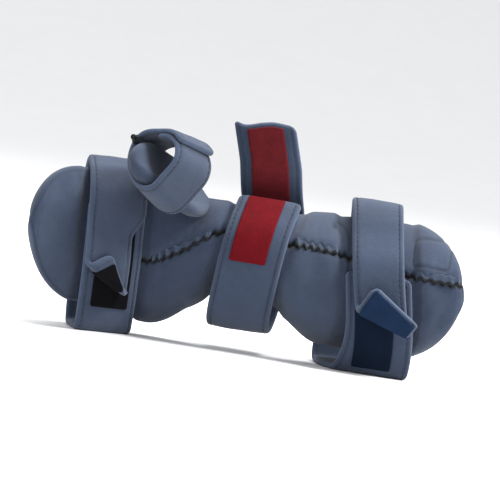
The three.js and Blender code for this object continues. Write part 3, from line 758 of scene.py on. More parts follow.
def pan_grid(rows, flats, rounds, warped):
    """The pan as a grid: places along it, share across, distance out of the middle surface and the face."""
    x = stations(-HAND_LENGTH, FOREARM_LENGTH, rows, 0.5)[:, None]
    length = section_length(x)
    end = np.minimum(x + HAND_LENGTH, FOREARM_LENGTH - x)
    thick = np.minimum(PAD * swell(end, PAD / 2), 1.6 * length)
    warp = towards_seam(x) if warped else (lambda v: v + 0 * x)
    w, h = rim(length, thick, flats, rounds, warp)
    side = w / np.maximum(length, 1e-6)
    face = h / np.maximum(thick / 2, 1e-6)
    return x, side, h, face, length


def pressed_in(x, side, h):
    """Distance out of the middle surface once the straps press, and how deep they press."""
    dented = strap_dent(pan_surface(x, side, PAD / 2))
    return h - np.clip(2 * h / PAD, 0, None) * dented, dented


x, side, h, face, length = pan_grid(**COARSE, warped=False)
outer, dented = pressed_in(x, side, h)
still = np.clip(0.25 + 0.75 * dented / DENT * (face > 0) + 0.35 * (face < 0), 0, 1)
coarse = pan_surface(x, side, outer)
moved = calmed(puffed(coarse, still), CALMING)
print("the cover moved by up to", round(float(np.linalg.norm(moved, axis=-1).max()), 2), "mm")
coarse_rows = x[:, 0]

# %% [markdown]
# The fine grid adds what is sewn: the long seam's groove, a welt round the edge, a stitched pocket at the
# forearm end, and a tack and a soft fold beside the forearm strap. They could be sculpted, but a dip in
# the outer face that is a bell of the distance to a line is exact and can be moved by one number.

# %% Relief of the outer face
SEAM_GAP = 1.7
SEAM_DEPTH = 2.6
WELT = 6.5
BULGE = 1.3
PUFF = 2.2
BESIDE = 13
BESIDE_REACH = 7
POCKET = {"x": 139.0, "z": 9.5, "long": 27.0, "high": 17.0}
TACK = (64.0, 17.5)
FOLD = {"x": 66.0, "z": 10.5, "round": 10.5, "lean": 0.13, "foot": -30.0}


def frame_line(x, z, box, radius=2.5):
    """Distance to the outline of a rectangle with rounded corners."""
    px = np.abs(x - box["x"]) - box["long"] / 2 + radius
    pz = np.abs(z - box["z"]) - box["high"] / 2 + radius
    outside = np.hypot(np.maximum(px, 0), np.maximum(pz, 0))
    return np.abs(outside + np.minimum(np.maximum(px, pz), 0) - radius)


def fold_line(x, z):
    """Distance to a quarter circle and to the leaning line that runs down from its end."""
    arc = np.abs(np.hypot(x - FOLD["x"], z - FOLD["z"]) - FOLD["round"])
    start = np.hypot(x - FOLD["x"], z - FOLD["z"] - FOLD["round"])
    run = np.abs(x - FOLD["x"] - FOLD["round"] - FOLD["lean"] * (FOLD["z"] - z))
    above = np.where(x > FOLD["x"], arc, start)
    return np.where(z > FOLD["z"], above, run) + np.maximum(FOLD["foot"] - z, 0)


def pan_relief(x, z, side, length):
    """How far the outer face sinks, and how dark it is painted there: painted shade in the sunk lines and
    dark seams.
    """
    turns = (x + HAND_LENGTH) / RUFFLE_PITCH * 2 * np.pi
    seam = seam_height(x) - 1.3 + 0.9 * np.cos(turns)
    on = smooth(x, seam_places[0], seam_places[0] + 8)
    gap = hump(z - seam, SEAM_GAP) * on
    lap = hump(z - seam - 6, 5.0) * on
    welt = hump((1 - np.abs(side)) * length - WELT, 1.1)
    pocket = hump(frame_line(x, z, POCKET), 0.8)
    tack = hump(np.hypot(x - TACK[0], z - TACK[1]), 2.2)
    fold = hump(fold_line(x, z), 1.0)
    sink = SEAM_DEPTH * gap - 0.7 * lap + 0.5 * welt + 0.7 * pocket + 1.6 * tack + 0.9 * fold
    # Painted shade in the seam's gap, the welt, the pocket's line, the tack and the fold, with the seams' own
    # dark colour.
    dark = 1.5 * hump(z - seam, SEAM_GAP) * on + 0.25 * welt + 0.4 * pocket + 0.5 * tack + 0.4 * fold
    return sink, np.clip(dark, 0, 1)


def beside_straps(points):
    """The padding's fuller line just beside each strap."""
    total = 0
    for strap in STRAP_PLACES.values():
        total = total + hump(np.abs(from_strap(points, strap)) - strap["half"] - BESIDE, BESIDE_REACH)
    return total


def coarse_column(side, face):
    """Where the fine grid's columns lie among the coarse grid's: across a flat, or round an edge."""
    flats, rounds = COARSE["flats"], COARSE["rounds"]
    turn = np.arccos(np.clip(face, -1, 1)) / np.pi * rounds
    widest = np.maximum(np.abs(side).max(1, keepdims=True), 1e-6)
    across = (np.clip(side / widest, -1, 1) + 1) / 2 * flats
    index = np.arange(side.shape[1])
    half_way = FINE["flats"] + FINE["rounds"]
    first_flat = index < FINE["flats"]
    first_round = (index >= FINE["flats"]) & (index < half_way)
    second_flat = (index >= half_way) & (index < half_way + FINE["flats"])
    return np.select(
        [first_flat, first_round, second_flat],
        [across, flats + turn, 2 * flats + rounds - across],
        2 * flats + 2 * rounds - turn,
    )


# %% The padded cover
x, side, h, face, length = pan_grid(**FINE, warped=True)
z = section(x, side)[0]
outer, dented = pressed_in(x, side, h)
sink, dark = pan_relief(x, z, side, length)
free = 1 - dented / DENT
outside = np.clip(face, 0, 1)
inland = smooth((1 - np.abs(side)) * length, 4, 16)
fuller = BULGE * beside_straps(pan_surface(x, side, PAD / 2)) * free * inland
uneven = 0.42 * ripple(x, z, 31.0, seed=5) + 0.2 * ripple(x, z, 12.0, seed=8)
outer = outer + outside * (fuller - sink + uneven * (0.25 + 0.75 * free) * inland)
points = pan_surface(x, side, outer)
column = coarse_column(side, face)
row = np.interp(x, coarse_rows, np.arange(len(coarse_rows)))
most = PUFF * np.where(face > 0, 0.08 + 0.92 * free, 0.8)
points = points + capped(read_grid(moved, row, column), most)
# The cover's colour marks: its sunk lines darkened as painted shade and dark seams, and a painted highlight
# on its rounded edges.
padded_cover = shell("padded_cover", points, {"sewn_and_shade": dark * outside, "edge_highlight": 0.35 * (1 - np.abs(face))})
padded_cover.data.materials.append(COVER_FABRIC)

# %% [markdown]
# ## The thumb rest
# A padded tongue leaves the pan's upper edge and comes forward. It could be a bent, subdivided box. A
# band carried along a cubic curve, hollow across and with a round end, keeps its thickness and gives the
# thumb strap a surface to lie on.

# %% The thumb rest
def unit(v):
    """The same direction, one long."""
    v = np.asarray(v, float)
    return v / np.linalg.norm(v)


FORWARD = unit((-0.58, -0.76, 0.3))
INNER = np.array((-0.7, 0.43, -0.57))
INNER = unit(INNER - FORWARD * INNER.dot(FORWARD))
ACROSS = np.cross(FORWARD, INNER)
THUMB_MIDDLE = np.array((-0.405 * HAND_LENGTH, -0.9 * PALM_LIFT, 0.45 * FINGER_WIDTH))
REST_SEAT = (THUMB_HOLLOW + THUMB_REST_PAD) / 2 - THUMB_REST_SINK
REST_TIP = THUMB_MIDDLE + INNER * REST_SEAT + FORWARD * THUMB_REST_REACH
REST_HOLLOW = 0.12
REST_CROWN = 0.1
REST_SEAM = 1.5
REST_END = {"share": 0.42, "square": 2.2}
REST_ROOT = pan_surface(np.array(-0.24 * HAND_LENGTH), np.array(0.78), np.array(0.0))
REST_PATH = np.array(
    [
        REST_ROOT,
        REST_ROOT + FORWARD * 0.5 * THUMB_REST_REACH,
        REST_TIP - FORWARD * 1.8 * THUMB_REST_REACH,
        REST_TIP,
    ]
)


def bezier(t):
    """A cubic curve through four control points."""
    s = 1 - t
    terms = (s**3, 3 * s * s * t, 3 * s * t * t, t**3)
    return sum(term[..., None] * point for term, point in zip(terms, REST_PATH))


def rest_surface(t, w, h):
    """Points of the thumb rest: t along its curve, w across it, h through it, hollowed by the square of w."""
    hollow = REST_HOLLOW * THUMB_REST_WIDTH * (w / (THUMB_REST_WIDTH / 2)) ** 2
    return bezier(t) + w[..., None] * ACROSS + (h - hollow)[..., None] * INNER


def rest_grid(rows, flats, rounds):
    """The rest as a grid: along, across and through it, and half its width there."""
    t = stations(0, 1, rows, 0.6)[:, None]
    steps = bezier(np.linspace(0, 1, 101))
    length = np.linalg.norm(np.diff(steps, axis=0), axis=1).sum()
    ahead = (1 - t) * length
    beyond = np.clip(1 - ahead / (REST_END["share"] * THUMB_REST_WIDTH), 0, 1)
    tip = rounding(beyond, REST_END["square"])
    root = 0.4 + 0.6 * smooth(t, 0, 0.5)
    half = THUMB_REST_WIDTH / 2 * tip * root
    thick = THUMB_REST_PAD * swell(np.minimum(t, 1 - t) * length, THUMB_REST_PAD / 2)
    w, h = rim(half, np.minimum(thick, 1.6 * half), flats, rounds)
    return t + 0 * w, w, h, half


REST_SEAT_GRID = {"rows": 60, "flats": 20, "rounds": 8}
REST_FINE_GRID = {"rows": 140, "flats": 44, "rounds": 16}

t, w, h, half = rest_grid(**REST_FINE_GRID)
seam_line = hump(half - np.abs(w) - REST_SEAM, 0.9) * (h > 0)
crowned = h * (1 + REST_CROWN * (1 - (w / np.maximum(half, 1)) ** 2))
points = rest_surface(t, w, crowned - 0.7 * seam_line)
# The seam round the rest is darkened: painted shade in its dip and the seam's own dark colour.
thumb_rest = shell("thumb_rest", points, {"sewn_and_shade": 0.35 * seam_line})
thumb_rest.data.materials.append(COVER_FABRIC)


# %% [markdown]
# ## Straps
# A strap is a band carried round its own loop. A cloth simulation could pull it tight, but thin bands
# crumple in it. The loop is the farthest line round the pan's face and the free space inside the strap,
# so it lies on the pan and stands off behind it, and the floor flattens it.

# %% Routes of the straps
class Route:
    """A line of points with its running length."""

    def __init__(self, points):
        self.points = np.asarray(points, float)
        steps = np.linalg.norm(np.diff(self.points[:, :2], axis=0), axis=1)
        self.run = np.concatenate([[0], np.cumsum(steps)])
        self.length = self.run[-1]

    def at(self, s):
        """Points of the line at these distances."""
        return np.stack([np.interp(s, self.run, column) for column in self.points.T], -1)

    def across(self, s, spread=4.0):
        """The way across the line, to its right: its direction between two near points, turned."""
        way = self.at(np.minimum(s + spread, self.length)) - self.at(np.maximum(s - spread, 0))
        long = np.maximum(np.hypot(way[..., 0], way[..., 1]), 1e-9)
        return np.stack([way[..., 1] / long, -way[..., 0] / long], -1)

    def reaches(self, level):
        """The first distance at which the line has come down to this level."""
        s = np.arange(0, self.length, 0.5)
        return float(s[np.argmax(self.at(s)[:, 1] <= level)])


# %% The loop and the route
def loop_round(points, seat, floor=-np.inf):
    """The farthest point in every direction, moved out by the seat, from the palm side and down round."""
    angle = np.radians(np.arange(0, 360, 0.5))
    ray = -np.stack([np.cos(angle), np.sin(angle)], -1)
    best = points[np.argmax(ray @ points.T, axis=1)] + seat * ray
    best[:, 1] = np.maximum(best[:, 1], floor)
    return Route(np.concatenate([best, best[:1]]))


def softened(points, reach):
    """Points averaged with their neighbours by a bell, so that corners turn softly; the ends stay."""
    n = int(3 * reach)
    bell = hump(np.arange(-n, n + 1), reach)
    bell = bell / bell.sum()
    wide = np.pad(points, ((n, n), (0, 0)), mode="reflect", reflect_type="odd")
    return np.stack([np.convolve(column, bell, "valid") for column in wide.T], -1)


ROUTE_STEP = 1.25
ROUTE_SOFT = 2.6
LAP_RISES = 34
LAP_TOP = 4


def strap_route(loop, start, end, over, place=None, tail=()):
    """Back, up and sideways along a strap: round the loop, lifted where it laps, then along a tail."""
    count = int((end - start) / ROUTE_STEP)
    s = np.linspace(start, end, count + 1)
    here = loop.at(s % loop.length)
    way = loop.at((s + 3) % loop.length) - loop.at((s - 3) % loop.length)
    way = way / np.linalg.norm(way, axis=1, keepdims=True)
    closed = start + loop.length
    lift = over * smooth(s, closed - LAP_RISES, closed - LAP_TOP)
    back = here[:, 0] + lift * way[:, 1]
    up = here[:, 1] - lift * way[:, 0]
    line = np.stack([back, up, slide(place, back, up) if place else 0 * back], -1)
    angle = math.atan2(*(line[-1] - line[-2])[[1, 0]])
    for length, turn, aside in tail:
        steps = max(round(length / ROUTE_STEP), 1)
        angles = angle + math.radians(turn) * np.arange(1, steps + 1) / steps
        move = np.stack([np.cos(angles) * length, np.sin(angles) * length, aside + 0 * angles], -1) / steps
        line = np.concatenate([line, line[-1] + np.cumsum(move, axis=0)])
        angle = angles[-1]
    return Route(softened(line, ROUTE_SOFT))


# %% The strap's surface
class Strap:
    """A strap's surface: s along its route, w across it, h out of it, with a fold near its end."""

    def __init__(self, ways, loop, route, half, fold=None, taper=0.0):
        self.origin, self.direction, self.back, self.up = (np.asarray(v, float) for v in ways)
        self.loop, self.route, self.fold = loop, route, fold
        self.half, self.taper = half, taper

    def narrowed(self, w):
        """How narrow the way through the strap is at this place across it, as a share."""
        return 1 - self.taper * w / self.half

    def __call__(self, s, w, h):
        s, w, h = np.broadcast_arrays(s, w, h)
        run, wide, out = s, w, h
        if self.fold:
            slant, radius, bend = self.fold["slant"], self.fold["radius"], self.fold["bend"]
            beyond = (s - self.fold["at"]) * math.cos(slant) + w * math.sin(slant)
            angle = np.minimum(beyond / radius, bend)
            rest = beyond - angle * radius
            moved = radius * np.sin(angle) + rest * np.cos(angle) - h * np.sin(angle) - beyond
            folded = beyond > 0
            run = np.where(folded, s + moved * math.cos(slant), s)
            wide = np.where(folded, w + moved * math.sin(slant), w)
            high = radius * (1 - np.cos(angle)) + rest * np.sin(angle) + h * np.cos(angle)
            out = np.where(folded, high, h)
        here = self.route.at(run)
        normal = self.route.across(run)
        share = self.narrowed(wide)
        parts = (
            (wide + here[..., 2], self.direction),
            (share * (here[..., 0] + out * normal[..., 0]), self.back),
            (share * (here[..., 1] + out * normal[..., 1]), self.up),
        )
        return self.origin + sum(amount[..., None] * way for amount, way in parts)


def ellipse_points(back, up, deep, high):
    """Points of an ellipse round a middle, one in every five degrees."""
    angle = np.radians(np.arange(0, 360, 5))
    return np.stack([back + deep / 2 * np.cos(angle), up + high / 2 * np.sin(angle)], -1)


# %% What a strap lies on
SEAT_GRID = {"rows": 220, "flats": 60, "rounds": 8}
x, side, h, face, length = pan_grid(**SEAT_GRID, warped=False)
pan_seat = pan_surface(x, side, pressed_in(x, side, h)[0]).reshape(-1, 3)


def pan_under(strap):
    """Points of the pan that lie under a strap, as back and up in the strap's frame."""
    origin, _, back = strap_frame(strap)
    near = np.abs(from_strap(pan_seat, strap)) <= strap["half"] + 1
    d = pan_seat[near] - origin
    return np.stack([d @ back, d[:, 2]], -1)


def make_strap(key, choose):
    """A strap round the pan and its free ellipse; choose gives its ends, fold and tail from the loop."""
    place = STRAP_PLACES[key]
    free = ROUNDS[key]
    middle = free["back"] * free["deep"], free["up"] * free["width"]
    round_points = ellipse_points(*middle, free["deep"], free["high"] * free["width"])
    under = np.concatenate([pan_under(place), round_points])
    loop = loop_round(under, CLEAR + STRAP / 2, FLOOR + STRAP / 2)
    chosen = choose(loop)
    over = STRAP + PATCH + 2 * CLEAR
    route = strap_route(loop, chosen["start"], chosen["end"], over, place, chosen.get("tail", ()))
    fold = chosen.get("fold")
    if fold:
        fold["at"] = route.length - fold["left"]
    print(key, "strap is", round(route.length), "mm long")
    return Strap((*strap_frame(place), (0, 0, 1)), loop, route, place["half"], fold)


# %% The finger, wrist and forearm straps
finger = make_strap(
    "finger",
    lambda loop: {
        "start": -0.63 * FINGER_STRAP_WIDTH,
        "end": loop.length + 0.69 * FINGER_STRAP_WIDTH,
        "fold": {
            "left": 0.245 * FINGER_STRAP_WIDTH,
            "slant": math.radians(-29),
            "radius": 0.6 * STRAP,
            "bend": math.radians(168),
        },
    },
)
wrist = make_strap(
    "wrist",
    lambda loop: {
        "start": -1.04 * STRAP_WIDTH,
        "end": 0.7 * loop.length,
        "tail": [
            (0.7 * STRAP_WIDTH, -40, -0.12 * STRAP_WIDTH),
            (0.69 * STRAP_WIDTH, 8, -0.2 * STRAP_WIDTH),
        ],
    },
)
forearm = make_strap(
    "forearm",
    lambda loop: {
        "start": -0.4 * FOREARM_STRAP_WIDTH,
        "end": loop.length + 0.66 * FOREARM_STRAP_WIDTH,
        "fold": {
            "left": 0.54 * FOREARM_STRAP_WIDTH,
            "slant": math.radians(-19),
            "radius": 0.8 * STRAP,
            "bend": math.radians(166),
        },
    },
)

# %% [markdown]
# The thumb strap goes round the thumb rest and a free ellipse beside it. It could use the pan's up and
# back as the others do, but the rest leaves the pan at a slant, to the palm side and the finger end. So
# it has three ways of its own, and its way through narrows a little towards the rest's tip.

# %% The thumb strap's route
t, w, h, _ = rest_grid(**REST_SEAT_GRID)
rest = rest_surface(t, w, h).reshape(-1, 3) - THUMB_MIDDLE
rest = rest[np.abs(rest @ FORWARD) <= THUMB_STRAP_WIDTH / 2 + 3]
share = 1 - THUMB_TAPER * (rest @ FORWARD) / (THUMB_STRAP_WIDTH / 2)
under = np.stack([rest @ INNER / share, -rest @ ACROSS / share], -1)
thumb_back = REST_SEAT - (THUMB_REST_PAD + THUMB_HOLLOW) / 2 - 1
thumb_round = ellipse_points(thumb_back, 0, THUMB_HOLLOW, 1.1 * THUMB_HOLLOW)
thumb_loop = loop_round(np.concatenate([under, thumb_round]), 1.4 * CLEAR + THUMB_STRAP / 2)
thumb_start, thumb_end = -0.65 * THUMB_STRAP_WIDTH, thumb_loop.length - 0.05 * THUMB_STRAP_WIDTH
thumb_route = strap_route(thumb_loop, thumb_start, thumb_end, THUMB_STRAP + CLEAR)
thumb_ways = (THUMB_MIDDLE, FORWARD, INNER, -ACROSS)
thumb = Strap(thumb_ways, thumb_loop, thumb_route, THUMB_STRAP_WIDTH / 2, taper=THUMB_TAPER)


# %% [markdown]
# A strap is two layers of the fabric over thin foam, turned in at the edges and sewn along them. The
# tapes and the label are thinner bands on the same routes. They could be flat sheets with a thickness
# added, but one function for all of them keeps every tape at the same small distance from its strap, also
# round a fold.

# %% Bands: straps, patches and the label
LEAN_FROM = 70
LEAN_TO = 15
END_WAVE_REACH = 26


def band(name, surface, start, end, half, thick, **more):
    """A band of a strap from start to end: its cut carried along, with rounded corners and relief."""
    out, shift, corner = more.get("out", 0.0), more.get("shift", 0.0), more.get("corner", CORNER)
    fold, relief = more.get("fold"), more.get("relief")
    s = stations(start, end, more.get("rows", 200), 0.3)[:, None]
    ahead = np.minimum(s - start, end - s)
    wide = half(s) if callable(half) else np.full(s.shape, half)
    aside = shift(s) if callable(shift) else shift
    near = 0.0
    if fold:
        near = math.tan(-fold["slant"]) * smooth(s, fold["at"] - LEAN_FROM, fold["at"] - LEAN_TO)
        near = np.minimum(near, 0.75 * (end - s) / wide)
    deep = thick * swell(ahead, thick / 2)
    w, h = rim(wide - corner * (1 - swell(ahead, corner)), deep, *more.get("cut", (30, 6)))
    along = s + near * w
    if "end_wave" in more:
        along = along + smooth(s, end - END_WAVE_REACH, end) * more["end_wave"](w / wide)
    face = h / np.maximum(deep / 2, 1e-6)
    height, sewn_and_shade = relief(along, w, face, wide) if relief else (0.0, 0.0)
    waver = more.get("waver", 0.0)
    lift = waver * ripple(along, w, 24.0, seed=3) * np.clip(ahead / 12, 0, 1)
    sway = 0.8 * waver * ripple(along, 0 * w, 40.0, seed=6)
    # Marks for the shader: sewn lines darkened as dark seams and painted shade, and the rounded edges, which
    # get a painted highlight.
    marks = {"sewn_and_shade": sewn_and_shade + 0 * w, "edge_highlight": 1 - np.abs(face)}
    return shell(name, surface(along, w + aside + sway, out + h + height * face + lift), marks)


EDGE_SEAM = 3.6


def sewn_band(crown=0.5):
    """Relief of a strap: fuller in the middle by a parabola, dipped along both edges by a bell."""

    def relief(s, w, face, wide):
        edge = hump(wide - np.abs(w) - EDGE_SEAM, 0.9)
        height = crown * (1 - (w / wide) ** 2) - 0.55 * edge
        # The dip along each edge seam is darkened too: painted shade in the dip and the seam's own dark
        # colour.
        return height, 0.3 * edge * np.abs(face)

    return relief


def strap_piece(name, strap, half=None, thick=STRAP, **more):
    """A whole strap as one band, a little wavy."""
    more = {"fold": strap.fold, "waver": 0.2, **more}
    piece = band(name, strap, 0.0, strap.route.length, half or strap.half, thick, **more)
    piece.data.materials.append(STRAP_FABRIC)
    return piece


forearm_base = forearm.route.reaches(FLOOR + 0.6 * STRAP)
flare_middle = forearm_base + 0.28 * FOREARM_STRAP_WIDTH
flare_reach = 0.6 * FOREARM_STRAP_WIDTH


def flare(s):
    """Half of how far the forearm strap widens at its foot: a bell."""
    return FLARE / 2 * hump(s - flare_middle, flare_reach)


def forearm_half(s):
    """Half the forearm strap's width: it flares at its foot and narrows before it closes."""
    closing = (FOREARM_STRAP_WIDTH - CLOSING_WIDTH) / 2
    narrowed = smooth(s, 0.5 * forearm.loop.length, 0.75 * forearm.loop.length)
    return FOREARM_STRAP_WIDTH / 2 + flare(s) - closing * narrowed


def forearm_shift(s):
    """The forearm strap moves aside with its flare, which is then all on the side towards the wrist."""
    return -flare(s)


def narrowing(s):
    """Half of how far the finger strap narrows as it closes: a soft step."""
    most = (FINGER_STRAP_WIDTH - FINGER_CLOSING) / 2
    reach = finger.loop.length + np.array([0.1, 0.45]) * FINGER_STRAP_WIDTH
    return most * smooth(s, *reach)


def finger_half(s):
    """Half the finger strap's width, less what it narrows by."""
    return finger.half - narrowing(s)


def finger_shift(s):
    """The finger strap keeps its finger-side edge straight as it narrows."""
    return -narrowing(s)


# %% The four straps
END_EDGE = curve([-1, -0.68, -0.05, 0.35, 1], [-2.0, -5.0, -1.5, 0.0, -1.0])
sewn_and_shade = {"relief": sewn_band()}
finger_strap = strap_piece("finger_band", finger, finger_half, rows=300, shift=finger_shift, **sewn_and_shade)
wrist_strap = strap_piece("wrist_band", wrist, rows=260, end_wave=END_EDGE, **sewn_and_shade)
forearm_strap = strap_piece("forearm_band", forearm, forearm_half, rows=340, shift=forearm_shift, **sewn_and_shade)
thumb_strap = strap_piece("thumb_band", thumb, thick=THUMB_STRAP, rows=180, relief=sewn_band(crown=0.3))

# %% Hook and loop tapes
PATCH_SEAT = STRAP / 2 + CLEAR + PATCH / 2
FINGER_END_SHIFT = -0.15 * FINGER_STRAP_WIDTH
cut_sizes = {}


def patch(name, strap, finish, start, end, half, **more):
    """A thin band of tape. Its cut is its width by its length, which is one face's area over the width."""
    more = {"corner": 1.5, "cut": (16, 3), "out": PATCH_SEAT, "rows": 90, **more}
    piece = band(name, strap, start, end, half, PATCH, **more)
    piece.data.materials.append(finish)
    both_faces = sum(face.area for face in piece.data.polygons) / MM**2
    cut_sizes[name] = (2 * half, both_faces / (4 * half + 2 * PATCH))
    return piece


patches = [
    patch(
        "finger_patch",
        finger,
        BLACK_TAPE,
        PATCH_END,
        finger.route.reaches(-0.57 * FINGER_WIDTH),
        FINGER_STRAP_WIDTH / 2 - 1.3 * PATCH_BORDER,
    ),
    patch(
        "finger_end_tape",
        finger,
        BLACK_TAPE,
        finger.fold["at"] + math.tan(-finger.fold["slant"]) * FINGER_END_SHIFT + STRAP,
        finger.route.length - 0.5 * PATCH_END,
        FINGER_CLOSING / 2 - 1.2 * PATCH_BORDER,
        shift=FINGER_END_SHIFT,
        out=-PATCH_SEAT,
        fold=finger.fold,
    ),
    patch(
        "wrist_patch",
        wrist,
        RED_TAPE,
        PATCH_END,
        wrist.route.reaches(-0.17 * WRIST_WIDTH),
        STRAP_WIDTH / 2 - 1.45 * PATCH_BORDER,
        shift=-0.04 * STRAP_WIDTH,
    ),
    patch(
        "wrist_end_tape",
        wrist,
        DARK_RED_TAPE,
        wrist.route.length - 1.2 * STRAP_WIDTH,
        wrist.route.length - PATCH_END,
        STRAP_WIDTH / 2 - 1.37 * PATCH_BORDER,
        out=-PATCH_SEAT,
        end_wave=lambda share: END_EDGE(0.62 * share),
    ),
    patch(
        "forearm_patch",
        forearm,
        NAVY_TAPE,
        PATCH_END,
        forearm.route.reaches(FLOOR + 1.4 * STRAP),
        FOREARM_STRAP_WIDTH / 2 - 1.5 * PATCH_BORDER,
        shift=-0.08 * FOREARM_STRAP_WIDTH,
    ),
    patch(
        "forearm_end_tape",
        forearm,
        NAVY_LOOP,
        forearm.fold["at"] + 1.6 * STRAP,
        forearm.route.length - 0.7 * PATCH_END,
        CLOSING_WIDTH / 2 - 0.3 * PATCH_BORDER,
        out=-PATCH_SEAT,
        fold=forearm.fold,
    ),
]

# %% The label
LABEL_SEAM = 2.2
label_middle = 0.47 * forearm.loop.length


def label_relief(s, w, face, wide):
    """Soft ripples over the ribbon, and a sewn line just inside its two ends."""
    seam = hump(wide - np.abs(w) - LABEL_SEAM, 0.5)
    return 0.16 * ripple(s, w, 9.0, seed=4) - 0.15 * seam, 0.5 * seam * np.abs(face)


label = band(
    "label_ribbon",
    forearm,
    label_middle - LABEL_WIDTH / 2,
    label_middle + LABEL_WIDTH / 2,
    LABEL_LENGTH / 2,
    LABEL,
    out=STRAP / 2 + CLEAR + LABEL / 2,
    corner=1.0,
    rows=60,
    relief=label_relief,
)
label.data.materials.append(LABEL_RIBBON)


# %% [markdown]
# ## The gathered seam
# The cover closes with a long seam whose upper edge is overlocked and gathered, so it stands up in small
# scallops over a gap, whose darkness is painted shade. Bump alone would leave the outline straight. A narrow
# band that waves in and out along the seam shows its scallops from every side. Three stretches of it show
# between the straps.

# %% The gathered edge
def gathers(x, w, h):
    """The gathered edge: x along the seam, w up across it, h out; it waves once in each uneven pitch."""
    turns = (x + 1.3 * ripple(x, 0 * x, 34.0, seed=11) + HAND_LENGTH) / RUFFLE_PITCH * 2 * np.pi
    depth = 0.8 + 0.3 * ripple(x, 0 * x, 19.0, seed=12)
    z = seam_height(x) + w + depth * np.cos(turns)
    free = np.clip(0.5 - w / RUFFLE_WIDTH, 0, 1)
    wave = depth * (1 + np.sin(turns)) * free
    side = side_at(x, z)
    seat = PAD / 2 - strap_dent(pan_surface(x, side, PAD / 2)) + 0.5 * CLEAR + RUFFLE / 2
    return pan_surface(x, side, seat + wave + h)


RUFFLE_ROWS = 14


def ruffle(name, start, end):
    """A narrow band along the seam between two places."""
    rows = int((end - start) / RUFFLE_PITCH * RUFFLE_ROWS)

    def painted_edge_shade(x, w, face, wide):
        """No relief, but a dark line at the free edge: painted shade where the gathered edge overhangs the
        gap.
        """
        return 0.0, 0.85 * hump(w + wide, 1.5)

    more = {"corner": 2.0, "rows": rows, "cut": (8, 4), "relief": painted_edge_shade}
    piece = band(name, gathers, start, end, RUFFLE_WIDTH / 2, RUFFLE, **more)
    piece.data.materials.append(COVER_FABRIC)
    return piece


def beside(key, side):
    """Where the seam comes out beside a strap, as a place along the pan."""
    place = STRAP_PLACES[key]
    return place["x"] + side * (place["half"] + SEAM_STOP) * float(spine(np.array(place["x"]))[0])


seam_stretches = {
    "gathers_palm": (beside("finger", 1) + SEAM_STOP, beside("wrist", -1) - SEAM_STOP / 3),
    "gathers_forearm": (beside("wrist", 1), beside("forearm", -1)),
    "gathers_end": (beside("forearm", 1) - SEAM_STOP / 3, FOREARM_LENGTH - SEAM_END),
}
ruffles = [ruffle(name, *stretch) for name, stretch in seam_stretches.items()]

# %% [markdown]
# ## Stitches
# Every strap is sewn along both edges, and the finger strap's closing tab and the thumb strap's end flap
# have sewn lines. A stitch is a round bar that dips at both ends. Instancing one bar on a curve could do
# it; here a whole row is worked out at once on the strap's own surface and joined into one mesh.

# %% Rows of stitches
STITCH = 3.1
STITCH_SHARE = 0.74
THREAD_RADIUS = 0.3
EDGE_START = 4
EDGE_STOP = 6
EDGE_RUN = 4 * STITCH


def running(start, end):
    """Stitches in a row between two places (s, w): one in each pitch, with a gap before the next."""
    start, end = np.asarray(start, float), np.asarray(end, float)
    count = max(int(np.linalg.norm(end - start) / STITCH), 1)
    t = np.arange(count)[:, None] / count
    return np.hstack([start + (end - start) * t, start + (end - start) * (t + STITCH_SHARE / count)])


def stitched(name, surface, rows, seat, finish, radius=THREAD_RADIUS):
    """Bars from (s, w) to (s, w) on a surface, this far out of it, whose ends dip by a square."""
    rows = np.concatenate(rows)[:, :, None, None]
    t = np.linspace(0, 1, 6)[None, :, None]
    angle = np.linspace(0, 2 * np.pi, 6, endpoint=False)[None, None, :]
    way = rows[:, 2:] - rows[:, :2]
    way = way / np.linalg.norm(way, axis=1, keepdims=True)
    thin = radius * np.sqrt(np.clip(1 - (2 * t - 1) ** 4, 0.03, 1))
    s = rows[:, 0] + (rows[:, 2] - rows[:, 0]) * t - way[:, 1] * thin * np.cos(angle)
    w = rows[:, 1] + (rows[:, 3] - rows[:, 1]) * t + way[:, 0] * thin * np.cos(angle)
    h = seat - radius * (2 * t - 1) ** 2 + thin * np.sin(angle) + 0 * s
    points = surface(s, w, h)
    flat = (points.reshape(-1, 3) + SET_DOWN) * MM
    ids = np.arange(flat.shape[0]).reshape(points.shape[:3])
    near, far = ids[:, :-1], ids[:, 1:]
    quads = np.stack([near, np.roll(near, -1, 2), np.roll(far, -1, 2), far], -1).reshape(-1, 4)
    caps = np.concatenate([ids[:, 0, ::-1], ids[:, -1]])
    piece = new_piece(name, flat, quads.tolist() + caps.tolist())
    face_outwards(piece.data)
    piece.data.materials.append(finish)
    print(name, len(rows), "stitches")
    return piece


def edge_rows(half, shift, end):
    """Both edges of a strap, followed in short straight runs."""
    s = np.arange(EDGE_START, end - EDGE_STOP, EDGE_RUN)
    ahead = s + EDGE_RUN
    rows = []
    for side in (-1, 1):
        here = side * (half(s) - EDGE_SEAM) + shift(s)
        there = side * (half(ahead) - EDGE_SEAM) + shift(ahead)
        rows += [running(a, b) for a, b in zip(np.stack([s, here], -1), np.stack([ahead, there], -1))]
    return rows


def same(value):
    """A width or shift that is the same all along a strap."""
    return lambda s: value + 0 * s


